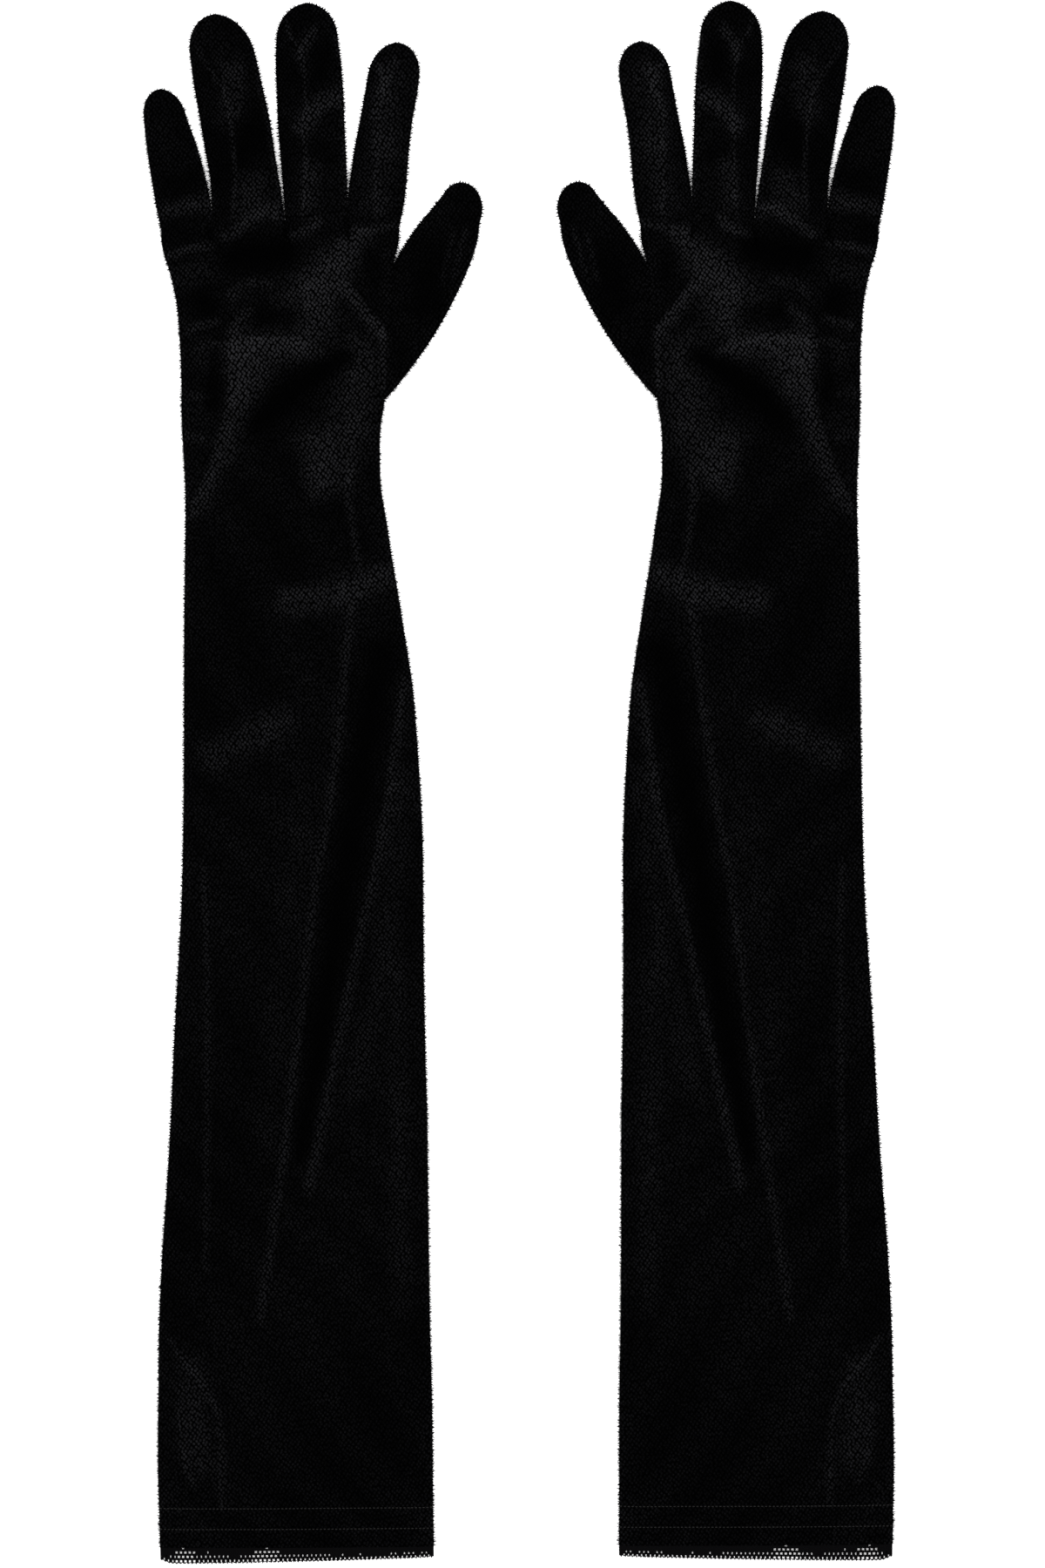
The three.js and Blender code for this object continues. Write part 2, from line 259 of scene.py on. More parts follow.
@dataclass(frozen=True)
class Drape:
    """How the upper cloth lies: its creases and slow waves, and the strokes of painted sheen and painted
    shade on its pile.
    """

    folds: tuple[Fold, ...] = (
        Fold(((112, 506), (104, 512.5), (98, 516.5), (93, 516)), 1.1, 3.0, 1.6),
        Fold(((89, 507), (84, 508), (80, 510), (77, 514)), 0.9, 2.6, 1.5),
        Fold(((112, 508), (111.4, 495), (111.6, 480), (111.8, 468)), 0.8, 1.3, 2.4),
        Fold(((112, 466), (102, 468), (91, 467.6), (80, 466), (74, 462)), 1.5, 7.0, 2.4),
        Fold(((112, 468), (109.6, 460), (111.6, 447), (114, 432), (119, 418), (127, 404)), 1.7, 8.0, 1.4),
        Fold(((66, 491), (60, 481), (53.5, 473), (53, 464), (53.6, 450)), 1.5, 1.5, 3.5),
        Fold(((103, 479), (109, 474), (111, 469)), 0.9, 1.5, 2.5),
        Fold(((66, 419), (65, 408), (64, 396), (63, 383)), 1.1, 1.2, 4.0),
        Fold(((91, 367), (80, 367), (70, 369), (60, 373), (50, 379)), 1.3, 5.0, 5.0),
        Fold(((64.5, 368), (66.4, 351), (72.3, 298), (79, 259), (90, 171), (101, 94)), 0.9, 1.0, 6.0),
        Fold(((46.2, 340), (54, 282), (62, 247), (76, 180), (84, 143)), 0.9, 6.0, 1.0),
        Fold(((122, 267), (120.7, 212), (121.7, 114)), 0.45, 2.0, 1.2),
        Fold(((136, 88), (124.5, 68), (118, 58), (116.4, 22)), 0.8, 1.6, 5.0),
        Fold(((118, 309), (105, 316), (92, 322)), 0.6, 6.0, 5.0),
        Fold(((134, 500), (127, 502), (119, 504)), 0.9, 2.0, 2.0),
        Fold(((127, 472), (121, 473), (116, 475)), 0.9, 2.0, 2.0),
        Fold(((129, 447), (124, 445), (119, 446)), 0.7, 2.2, 2.2),
        Fold(((128, 432), (124, 430), (120, 431)), 0.6, 2.0, 2.0),
        Fold(((59, 509), (53, 510.5), (47, 512)), 0.6, 1.4, 1.4),
        Fold(((57, 577), (53, 570), (50, 559)), 0.5, 1.2, 1.2),
        Fold(((48, 575), (53, 563), (57, 552)), 0.5, 1.2, 1.2),
    )
    # Painted sheen along the creases and bright patches; the strokes with negative gains are painted shade
    # between and below the folds.
    strokes: tuple[PaintedSheenStroke, ...] = (
        PaintedSheenStroke(((62, 507), (69, 498), (77, 488), (84, 476)), (4, 11), 0.62),
        PaintedSheenStroke(((66, 489), (60, 481), (53, 472)), (3.6, 4), 0.55, Crisp.RIGHT),
        PaintedSheenStroke(((52.2, 471), (52.4, 450)), (1.6, 1.2), 0.35),
        PaintedSheenStroke(((110, 467), (94, 467.5), (76, 463.5)), (11, 3.5), 0.6, Crisp.RIGHT),
        PaintedSheenStroke(((110, 464), (110.5, 450), (114, 433), (119.5, 417), (126, 404)), (9, 4), 0.42, Crisp.LEFT),
        PaintedSheenStroke(((100, 455), (105, 444)), (6, 6), 0.3),
        PaintedSheenStroke(((62.5, 461), (63, 446), (66, 430), (71, 418)), (8.5, 8), 0.36),
        PaintedSheenStroke(((78, 429), (78, 411)), (7, 5), 0.34),
        PaintedSheenStroke(((112, 506.8), (103.7, 513), (96, 517.5), (92.5, 516)), (2, 2.4), 0.5),
        PaintedSheenStroke(((87, 507.5), (80, 510), (77, 513.5)), (1.8, 1.8), 0.45),
        PaintedSheenStroke(((70.5, 560), (77, 557), (83, 549)), (3.4, 3.4), 0.5),
        PaintedSheenStroke(((78, 586), (82.5, 579.5), (83.2, 575)), (1.6, 1.6), 0.4),
        PaintedSheenStroke(((80, 533), (81, 520)), (4, 4), 0.26),
        PaintedSheenStroke(((110, 570), (110, 554)), (5, 5), 0.28),
        PaintedSheenStroke(((102, 532), (103, 519)), (5, 6), 0.3),
        PaintedSheenStroke(((135.5, 517.5), (128, 519), (120.4, 520.5)), (3, 3), 0.36),
        PaintedSheenStroke(((134, 500.7), (126, 502.5), (118.8, 504)), (1.5, 1.5), 0.42),
        PaintedSheenStroke(((131, 492), (122, 494)), (5, 5), 0.18),
        PaintedSheenStroke(((126.4, 472), (116.5, 475)), (1.5, 1.5), 0.4),
        PaintedSheenStroke(((128, 447), (119, 446)), (1.4, 1.4), 0.22),
        PaintedSheenStroke(((129, 431), (122, 430)), (2, 2), 0.2),
        PaintedSheenStroke(((57, 576), (53, 570), (50, 560)), (1.2, 1.2), 0.35),
        PaintedSheenStroke(((48, 574), (53, 562), (56, 553)), (1.2, 1.2), 0.35),
        PaintedSheenStroke(((50, 566), (52, 545)), (6, 6), 0.2),
        PaintedSheenStroke(((53, 540), (55, 520)), (6, 6), 0.2),
        PaintedSheenStroke(((59, 509), (53, 510.5), (47, 512)), (1.1, 1.1), 0.4),
        PaintedSheenStroke(((102.9, 478.8), (109, 473.5), (111.2, 469)), (1.4, 1.4), 0.35),
        PaintedSheenStroke(((109.7, 484.8), (103.7, 489.4), (96, 489.4)), (2, 2), 0.24),
        PaintedSheenStroke(((109, 467.4), (91.5, 468), (80.9, 466)), (1.4, 1.4), 0.3),
        PaintedSheenStroke(((88.6, 367.7), (70, 370.5), (53.4, 377)), (5.5, 5.5), 0.42),
        PaintedSheenStroke(((65, 419), (65.9, 406), (62.3, 383)), (1.4, 1.4), 0.25),
        PaintedSheenStroke(
            ((64, 367.7), (72, 297.7), (78.5, 259.3), (89.6, 170.3), (100.6, 93.7)),
            (2.6, 2.2), 0.26, Crisp.RIGHT,
        ),
        PaintedSheenStroke(
            ((45.9, 337), (53.8, 282), (61.6, 247), (75.6, 180), (83.4, 143)),
            (3.4, 2.4), 0.32, Crisp.LEFT,
        ),
        PaintedSheenStroke(((45, 300), (51, 250), (58, 210), (66, 180)), (5, 5), 0.14),
        PaintedSheenStroke(((84, 290), (92, 220), (98, 160)), (6, 7), 0.08),
        PaintedSheenStroke(((118, 309), (92, 322)), (6, 6), 0.28),
        PaintedSheenStroke(((136, 86), (118, 59), (116.4, 22)), (1.3, 1.3), 0.22),
        PaintedSheenStroke(((132, 60), (131, 42), (127, 30)), (1.4, 1.4), 0.16),
        PaintedSheenStroke(((127, 75), (126, 40)), (6, 6), 0.2),
        PaintedSheenStroke(((122, 267), (120.7, 212), (122, 114)), (1.3, 1.3), 0.18),
        PaintedSheenStroke(((49, 229), (47, 98)), (4.5, 4.5), 0.12),
        PaintedSheenStroke(((25.8, 507), (29.8, 490)), (1.1, 1.1), 0.2),
        PaintedSheenStroke(((20.5, 510), (25.2, 493)), (1.1, 1.1), 0.2),
        PaintedSheenStroke(((108, 499), (90, 501)), (8, 8), -0.92),
        PaintedSheenStroke(((98, 477), (88, 476)), (6, 7), -0.85),
        PaintedSheenStroke(((67.5, 461), (78, 455), (90, 446), (98, 438)), (5, 8), -0.93),
        PaintedSheenStroke(((116.5, 463), (117.5, 445)), (4, 4), -0.8),
        PaintedSheenStroke(((103, 546), (104, 537)), (8, 8), -0.85),
        PaintedSheenStroke(((75, 576), (75.5, 569)), (4.5, 4.5), -0.8),
        PaintedSheenStroke(((77, 541), (72, 537)), (4.5, 4.5), -0.6),
        PaintedSheenStroke(((121, 483), (119, 479)), (5, 5), -0.75),
        PaintedSheenStroke(((123, 530), (131, 527)), (5, 5), -0.6),
        PaintedSheenStroke(((55, 491), (57, 500)), (4, 4), -0.6),
        PaintedSheenStroke(((32, 500), (38, 480)), (7, 6), -0.6),
        PaintedSheenStroke(((54, 347), (62, 300), (69.5, 253), (78, 200), (86, 155)), (8.5, 2.8), -0.88),
    )
    resting_nap: float = 0.085
    strength: float = 0.76
    wave_height: float = 0.28
    patchiness: float = 0.02

    def waves(self, u: np.ndarray, v: np.ndarray) -> np.ndarray:
        """Slow, uneven swell of cloth at rest, in millimetres."""
        swell = np.sin(v / 17.3 + 1.1 * np.sin(u / 13.1)) + 0.8 * np.sin(v / 9.1 - u / 12.7 + 0.6)
        return self.wave_height * (swell + 0.35 * np.sin(u / 5.3 + 1.9 * np.sin(v / 21.0)))

    def relief(self, u: np.ndarray, v: np.ndarray) -> tuple[np.ndarray, np.ndarray]:
        """Adds up the drape at points of the pattern.

        Args:
            u: Distances from the line between the gloves.
            v: Distances from the cuff edge.

        Returns:
            The rise of the upper cloth in millimetres and its pile brightness, with painted sheen and painted
            shade.
        """
        rise = self.waves(u, v)
        for fold in self.folds:
            rise = rise + fold.relief(u, v)
        nap = np.full(u.shape, self.resting_nap)
        nap = nap + self.patchiness * np.sin(v / 31.0 + u / 19.0)
        nap = nap + self.patchiness * np.sin(v / 6.1 - u / 4.7 + 2 * np.sin(v / 23.0))
        for stroke in self.strokes:
            brushed = stroke.brushed(u, v)
            # Painted shade scales the pile brightness down; painted sheen adds to it.
            nap = nap * (1 + brushed) if stroke.gain < 0 else nap + self.strength * brushed
        return rise, np.clip(nap, 0.01, 1.0)


# ---- Mesh helpers ----
@dataclass(frozen=True)
class Panel:
    """A stretch of a cloth tube: shares round it from first to last, and along it likewise."""

    around: tuple[float, float]
    columns: int
    along: tuple[float, float]
    rows: int


def to_frame(places: np.ndarray, side: Side) -> np.ndarray:
    """Turns places in the pattern, in millimetres, into places in the frame, in metres."""
    world = np.empty_like(places)
    world[:, 0] = places[:, 0] * side.value
    world[:, 1] = places[:, 1] - LENGTH_MM / 2
    world[:, 2] = places[:, 2]
    return world * MM


def place_along(v: float) -> tuple[float, float, float]:
    """The point of the frame's middle line at a distance from the cuff edge."""
    return (0.0, (v - LENGTH_MM / 2) * MM, 0.0)


def sewn(
    name: str, panels: list[Panel], shape: Shape, side: Side, wall: float, fringe_mm: float = 0.0
) -> bpy.types.Object:
    """Lays panels of cloth over a shape of the pattern and sews them where they meet.

    Args:
        name: The piece's name.
        panels: The stretches of the tube that the piece is made of.
        shape: Gives places in the pattern and pile brightness with painted sheen and shade, from shares round
            and along.
        side: The glove that the piece belongs to.
        wall: The cloth's thickness in millimetres, grown inwards.
        fringe_mm: The tube's length if pile stands out along its outline, or 0.

    Returns:
        The new object, with its pile brightness, painted sheen and painted shade in a point attribute.
    """
    bm = bmesh.new()
    # The pile brightness layer holds painted sheen and painted shade as well as the cloth's resting tone.
    layer = bm.verts.layers.float.new("nap")
    weave = bm.verts.layers.float_vector.new("weave")
    for panel in panels:
        laid = bmesh.ops.create_grid(bm, x_segments=panel.columns, y_segments=panel.rows, size=1.0)
        verts = laid["verts"]
        flat = np.array([vert.co[:2] for vert in verts])
        across = np.round((flat[:, 0] + 1) / 2 * panel.columns) / panel.columns
        up = np.round((flat[:, 1] + 1) / 2 * panel.rows) / panel.rows
        around = panel.around[0] + (panel.around[1] - panel.around[0]) * across
        along = panel.along[0] + (panel.along[1] - panel.along[0]) * up
        places, nap = shape(np.mod(around, 1.0 + 1e-9), along)
        for vert, place, brightness in zip(verts, to_frame(places, side), nap):
            vert.co = place
            vert[layer] = brightness
            vert[weave] = (place[0], place[1], 0.0)
    bmesh.ops.remove_doubles(bm, verts=bm.verts[:], dist=JOIN_WITHIN)
    bmesh.ops.dissolve_degenerate(bm, dist=1e-6, edges=bm.edges[:])
    bmesh.ops.recalc_face_normals(bm, faces=bm.faces[:])
    turn_outward(bm)
    bmesh.ops.solidify(bm, geom=bm.faces[:], thickness=wall * MM)
    for vert in bm.verts:
        vert.co.z = max(vert.co.z, UNDERSIDE * MM)
    if fringe_mm:
        PileFringe().grow(bm, shape, fringe_mm, side)
    return finished(name, bm)


@dataclass(frozen=True)
class PileFringe:
    """The short pile that stands out along a piece's outline, as small tapered tufts."""

    pitch: float = 0.55
    length: tuple[float, float] = (0.2, 1.15)
    thickness: float = 0.28
    root: float = 0.25
    spray_deg: float = 38.0
    height_spread: float = 0.8
    nap: float = 0.22
    seed: int = 7

    def tuft(self) -> bpy.types.Mesh:
        """Builds one tuft, a millimetre long, standing along +X from its root."""
        bm = bmesh.new()
        turn = Matrix.Rotation(math.radians(90), 4, "Y")
        bmesh.ops.create_cone(
            bm, cap_ends=True, segments=4, radius1=0.5, radius2=0.1, depth=1.0,
            matrix=Matrix.Translation((0.5, 0.0, 0.0)) @ turn,
        )
        mesh = bpy.data.meshes.new("tuft")
        bm.to_mesh(mesh)
        bm.free()
        return mesh

    def grow(self, bm: bmesh.types.BMesh, shape: Shape, length_mm: float, side: Side) -> None:
        """Plants tufts along both edges of a tube.

        Args:
            bm: The tube's bmesh.
            shape: The tube's shape.
            length_mm: The tube's length.
            side: The glove that the piece belongs to.
        """
        rng = np.random.default_rng(self.seed)
        count = int(length_mm / self.pitch)
        layer = bm.verts.layers.float["nap"]
        mesh = self.tuft()
        step = 0.4 / count
        for edge in (0.0, 0.5):
            along = np.clip((np.arange(count) + rng.random(count)) / count, 0.0, 1.0)
            round_it = np.full(count, edge)
            here, _ = shape(round_it, along)
            ahead, _ = shape(round_it, np.clip(along + step, 0, 1))
            behind, _ = shape(round_it, np.clip(along - step, 0, 1))
            run = (ahead - behind)[:, :2]
            run = run / np.maximum(np.hypot(run[:, 0], run[:, 1]), 1e-6)[:, None]
            sign = 1.0 if edge else -1.0
            bearing = np.arctan2(-sign * run[:, 0], sign * run[:, 1])
            bearing = bearing + np.radians(self.spray_deg) * (2 * rng.random(count) - 1)
            sizes = self.length[0] + (self.length[1] - self.length[0]) * rng.random(count)
            lifts = self.height_spread * (2 * rng.random(count) - 1)
            self.plant(bm, mesh, layer, np.column_stack([here, bearing, sizes, lifts]), side)
        bpy.data.meshes.remove(mesh)

    def plant(
        self,
        bm: bmesh.types.BMesh,
        mesh: bpy.types.Mesh,
        layer: bmesh.types.BMLayerItem,
        places: np.ndarray,
        side: Side,
    ) -> None:
        """Adds a copy of the tuft at each place.

        Args:
            bm: The bmesh to add to.
            mesh: The tuft.
            layer: The pile brightness layer.
            places: Rows of u, v, height, bearing, length and lift.
            side: The glove that the piece belongs to.
        """
        first = len(bm.verts)
        first_face = len(bm.faces)
        model = np.array([vert.co[:] for vert in mesh.vertices])
        for _ in range(len(places)):
            bm.from_mesh(mesh)
        u, v, height, bearing, size, lift = (places[:, [k]] for k in range(6))
        out = model[None, :, 0] * (size + self.root) - self.root
        across = model[None, :, 1] * self.thickness * 2
        up = model[None, :, 2] * self.thickness * 2
        spots = np.stack(
            [u + out * np.cos(bearing) - across * np.sin(bearing),
             v + out * np.sin(bearing) + across * np.cos(bearing),
             height + lift + up], 2).reshape(-1, 3)
        bm.verts.ensure_lookup_table()
        weave = bm.verts.layers.float_vector["weave"]
        for vert, spot in zip(bm.verts[first:], to_frame(spots, side)):
            vert.co = spot
            vert[layer] = self.nap
            vert[weave] = (spot[0], spot[1], 0.0)
        if side is Side.LEFT:
            bm.faces.ensure_lookup_table()
            bmesh.ops.reverse_faces(bm, faces=bm.faces[first_face:])


def turn_outward(bm: bmesh.types.BMesh) -> None:
    """Turns a flat-lying tube's faces away from its middle height."""
    middle = sum(vert.co.z for vert in bm.verts) / len(bm.verts)
    votes = sum(
        face.normal.z * (face.calc_center_median().z - middle) * face.calc_area() for face in bm.faces
    )
    if votes < 0:
        bmesh.ops.reverse_faces(bm, faces=bm.faces[:])


def finished(name: str, bm: bmesh.types.BMesh, crease_deg: float = 50.0) -> bpy.types.Object:
    """Makes an object at the origin from a finished bmesh.

    Args:
        name: The piece's name.
        bm: The bmesh, which is freed.
        crease_deg: Edges that turn more than this are shaded sharp.

    Returns:
        The new object, in the scene.
    """
    mesh = bpy.data.meshes.new(name)
    bm.to_mesh(mesh)
    bm.free()
    mesh.polygons.foreach_set("use_smooth", [True] * len(mesh.polygons))
    mesh.set_sharp_from_angle(angle=math.radians(crease_deg))
    piece = bpy.data.objects.new(name, mesh)
    bpy.context.scene.collection.objects.link(piece)
    return piece


def dress(piece: bpy.types.Object, material: bpy.types.Material) -> None:
    """Gives a piece its material."""
    piece.data.materials.clear()
    piece.data.materials.append(material)


def swept_area(middle: np.ndarray, run: np.ndarray, layers: np.ndarray | float) -> float:
    """Adds up the flat cloth between rows across a pattern.

    Args:
        middle: Each row's middle, as rows of u and v.
        run: Each row's way from its low edge to its high edge, as rows of u and v.
        layers: How many layers of cloth each row counts for.

    Returns:
        The area in square millimetres.
    """
    step = np.diff(middle, axis=0)
    cloth = run * np.broadcast_to(layers, len(run))[:, None]
    across = (cloth[1:] + cloth[:-1]) / 2
    return float(np.sum(np.abs(across[:, 0] * step[:, 1] - across[:, 1] * step[:, 0])))


# ---- Materials ----
def knit_group() -> bpy.types.NodeTree:
    """Builds the shader group for pile over a fine knit.

    Returns:
        A group that takes a place, the stitches to the metre and the pile's brightness with its painted sheen
        and shade, and gives how much of the lighter sheen colour shows and a height, which both change over
        the cloth.
    """
    group = bpy.data.node_groups.new("velvet_knit", "ShaderNodeTree")
    group.interface.new_socket("Place", in_out="INPUT", socket_type="NodeSocketVector")
    group.interface.new_socket("Stitches", in_out="INPUT", socket_type="NodeSocketFloat")
    group.interface.new_socket("Nap", in_out="INPUT", socket_type="NodeSocketFloat")
    group.interface.new_socket("Share", in_out="OUTPUT", socket_type="NodeSocketFloat")
    group.interface.new_socket("Height", in_out="OUTPUT", socket_type="NodeSocketFloat")
    nodes, links = group.nodes, group.links
    source = nodes.new("NodeGroupInput")
    result = nodes.new("NodeGroupOutput")
    turned = nodes.new("ShaderNodeMapping")
    turned.inputs["Rotation"].default_value = (0.0, 0.0, math.radians(38))
    turned.inputs["Scale"].default_value = (1.0, 0.8, 1.0)
    links.new(source.outputs["Place"], turned.inputs["Vector"])
    spots = nodes.new("ShaderNodeTexVoronoi")
    spots.voronoi_dimensions = "2D"
    spots.inputs["Randomness"].default_value = 0.4
    links.new(turned.outputs["Vector"], spots.inputs["Vector"])
    links.new(source.outputs["Stitches"], spots.inputs["Scale"])
    dots = spread(nodes, links, spots.outputs["Distance"], (0.5, 0.12), (0.0, 1.0))
    grain = nodes.new("ShaderNodeTexNoise")
    grain.inputs["Scale"].default_value = 2100.0
    grain.inputs["Detail"].default_value = 3.0
    links.new(source.outputs["Place"], grain.inputs["Vector"])
    patchy = nodes.new("ShaderNodeTexNoise")
    patchy.inputs["Scale"].default_value = 240.0
    patchy.inputs["Detail"].default_value = 4.0
    links.new(source.outputs["Place"], patchy.inputs["Vector"])
    broken = spread(nodes, links, patchy.outputs["Fac"], (0.36, 0.66), (0.72, 1.3))
    tufted = spread(nodes, links, grain.outputs["Fac"], (0.36, 0.66), (0.35, 1.7))
    knit = spread(nodes, links, dots, (0.0, 1.0), (0.0, 1.75))
    strewn = combine(nodes, links, "MULTIPLY", combine(nodes, links, "MULTIPLY", knit, tufted), broken)
    # How much lighter colour shows follows the pile attribute, with its painted sheen and shade.
    shown = combine(nodes, links, "MULTIPLY", strewn, source.outputs["Nap"])
    height = combine(nodes, links, "ADD", dots, grain.outputs["Fac"])
    links.new(shown, result.inputs["Share"])
    links.new(height, result.inputs["Height"])
    return group


def spread(
    nodes: bpy.types.Nodes,
    links: bpy.types.NodeLinks,
    value: bpy.types.NodeSocket,
    given: tuple[float, float],
    wanted: tuple[float, float],
) -> bpy.types.NodeSocket:
    """Maps a value from one range to another, held at both ends.

    Args:
        nodes: The tree's nodes.
        links: The tree's links.
        value: The socket to map.
        given: The value's range.
        wanted: The range that it becomes.

    Returns:
        The mapped value's socket.
    """
    step = nodes.new("ShaderNodeMapRange")
    step.inputs["From Min"].default_value, step.inputs["From Max"].default_value = given
    step.inputs["To Min"].default_value, step.inputs["To Max"].default_value = wanted
    links.new(value, step.inputs["Value"])
    return step.outputs["Result"]


def combine(
    nodes: bpy.types.Nodes,
    links: bpy.types.NodeLinks,
    how: str,
    first: bpy.types.NodeSocket,
    second: bpy.types.NodeSocket,
) -> bpy.types.NodeSocket:
    """Joins two values by a sum or a product.

    Args:
        nodes: The tree's nodes.
        links: The tree's links.
        how: The Math node's operation.
        first: One value's socket.
        second: The other value's socket.

    Returns:
        The result's socket.
    """
    step = nodes.new("ShaderNodeMath")
    step.operation = how
    links.new(first, step.inputs[0])
    links.new(second, step.inputs[1])
    return step.outputs[0]


@dataclass(frozen=True)
class VelvetFinish:
    """Black stretch velvet: short pile over a fine knit, with painted sheen where the pile attribute is
    raised and painted shade where it is lowered.
    """

    name: str = "black_velvet"
    shade: tuple[float, float, float, float] = (0.0002, 0.0002, 0.00022, 1.0)
    # The lighter pile colour that the knit's stitches and the painted sheen mix towards.
    brushed: tuple[float, float, float, float] = (0.0112, 0.0112, 0.0124, 1.0)
    stitches: float = 830.0
    roughness: float = 0.85
    specular: float = 0.0
    sheen: float = 0.007
    sheen_roughness: float = 0.22
    bump_mm: float = 0.15

    def material(self, knit: bpy.types.NodeTree) -> bpy.types.Material:
        """Builds the material.

        Args:
            knit: The shared knit group.

        Returns:
            A material that reads the pile brightness, with its painted sheen and painted shade, from a point
            attribute, and the place in the flat cloth from the attribute "weave".
        """
        material = bpy.data.materials.new(self.name)
        material.use_nodes = True
        nodes, links = material.node_tree.nodes, material.node_tree.links
        shader = nodes["Principled BSDF"]
        shader.inputs["Roughness"].default_value = self.roughness
        shader.inputs["Specular IOR Level"].default_value = self.specular
        shader.inputs["Sheen Weight"].default_value = self.sheen
        shader.inputs["Sheen Roughness"].default_value = self.sheen_roughness
        shader.inputs["Sheen Tint"].default_value = (0.95, 0.95, 1.0, 1.0)
        place = nodes.new("ShaderNodeAttribute")
        place.attribute_name = "weave"
        pattern = nodes.new("ShaderNodeGroup")
        pattern.node_tree = knit
        pattern.inputs["Stitches"].default_value = self.stitches
        # Reads the pile brightness with its painted sheen and painted shade.
        nap = nodes.new("ShaderNodeAttribute")
        nap.attribute_name = "nap"
        colour = nodes.new("ShaderNodeMix")
        colour.data_type = "RGBA"
        colour.inputs["A"].default_value = self.shade
        colour.inputs["B"].default_value = self.brushed
        bump = nodes.new("ShaderNodeBump")
        bump.inputs["Strength"].default_value = 0.5
        bump.inputs["Distance"].default_value = self.bump_mm * MM
        links.new(place.outputs["Vector"], pattern.inputs["Place"])
        links.new(nap.outputs["Fac"], pattern.inputs["Nap"])
        links.new(pattern.outputs["Share"], colour.inputs["Factor"])
        links.new(colour.outputs["Result"], shader.inputs["Base Color"])
        links.new(pattern.outputs["Height"], bump.inputs["Height"])
        links.new(bump.outputs["Normal"], shader.inputs["Normal"])
        return material


@dataclass(frozen=True)
class ThreadFinish:
    """Matt black yarn, as in the bare knit net, the stitches and the elastic tape."""

    name: str = "black_yarn"
    dark: tuple[float, float, float, float] = (0.0008, 0.0008, 0.0009, 1.0)
    light: tuple[float, float, float, float] = (0.0024, 0.0023, 0.0025, 1.0)
    ply: float = 2400.0
    roughness: float = 0.8
    specular: float = 0.0

    def material(self) -> bpy.types.Material:
        """Builds the material, with the twist of the yarn in its colour and relief."""
        material = bpy.data.materials.new(self.name)
        material.use_nodes = True
        nodes, links = material.node_tree.nodes, material.node_tree.links
        shader = nodes["Principled BSDF"]
        shader.inputs["Roughness"].default_value = self.roughness
        shader.inputs["Specular IOR Level"].default_value = self.specular
        place = nodes.new("ShaderNodeTexCoord")
        twist = nodes.new("ShaderNodeTexWave")
        twist.bands_direction = "DIAGONAL"
        twist.inputs["Scale"].default_value = self.ply
        twist.inputs["Distortion"].default_value = 2.0
        colour = nodes.new("ShaderNodeMix")
        colour.data_type = "RGBA"
        colour.inputs["A"].default_value = self.dark
        colour.inputs["B"].default_value = self.light
        bump = nodes.new("ShaderNodeBump")
        bump.inputs["Strength"].default_value = 0.4
        bump.inputs["Distance"].default_value = 0.1 * MM
        links.new(place.outputs["Object"], twist.inputs["Vector"])
        links.new(twist.outputs["Fac"], colour.inputs["Factor"])
        links.new(twist.outputs["Fac"], bump.inputs["Height"])
        links.new(colour.outputs["Result"], shader.inputs["Base Color"])
        links.new(bump.outputs["Normal"], shader.inputs["Normal"])
        return material


@dataclass(frozen=True)
class Wardrobe:
    """The materials that both gloves share."""

    velvet: bpy.types.Material
    gusset: bpy.types.Material
    yarn: bpy.types.Material
    thread: bpy.types.Material
    tape: bpy.types.Material


def make_wardrobe() -> Wardrobe:
    """Builds every cloth material once."""
    knit = knit_group()
    gusset = VelvetFinish(name="gusset_velvet", brushed=(0.0092, 0.0092, 0.0104, 1.0), stitches=900.0)
    thread = ThreadFinish(
        name="hem_thread", dark=(0.004, 0.004, 0.004, 1.0), light=(0.02, 0.0195, 0.019, 1.0)
    )
    tape = ThreadFinish(name="elastic_tape", ply=1500.0, light=(0.012, 0.012, 0.013, 1.0))
    return Wardrobe(
        velvet=VelvetFinish().material(knit),
        gusset=gusset.material(knit),
        yarn=ThreadFinish().material(),
        thread=thread.material(),
        tape=tape.material(),
    )


# ---- The glove's surface ----
@dataclass(frozen=True)
class Seam:
    """A seam beside a fourchette: the column it follows, and its share across the stall."""

    flank: Flank
    column: int
    course: tuple[tuple[float, float], ...]
    until: float = 0.82

    def share(self, along: np.ndarray) -> np.ndarray:
        """The seam's place across the stall, from 0 thumbward to 1 outward."""
        return np.interp(along, [point[0] for point in self.course], [point[1] for point in self.course])

    def taken(self, along: np.ndarray) -> np.ndarray:
        """The layers of cloth that the fourchette takes from the stall, of its two."""
        top = 1 - self.share(along) if self.flank is Flank.OUTWARD else self.share(along)
        under = (crowded(np.array(2 * UNDER_STRIP_COLUMNS / STALL_COLUMNS - 1)) + 1) / 2
        return (top + under) * (along < self.until)


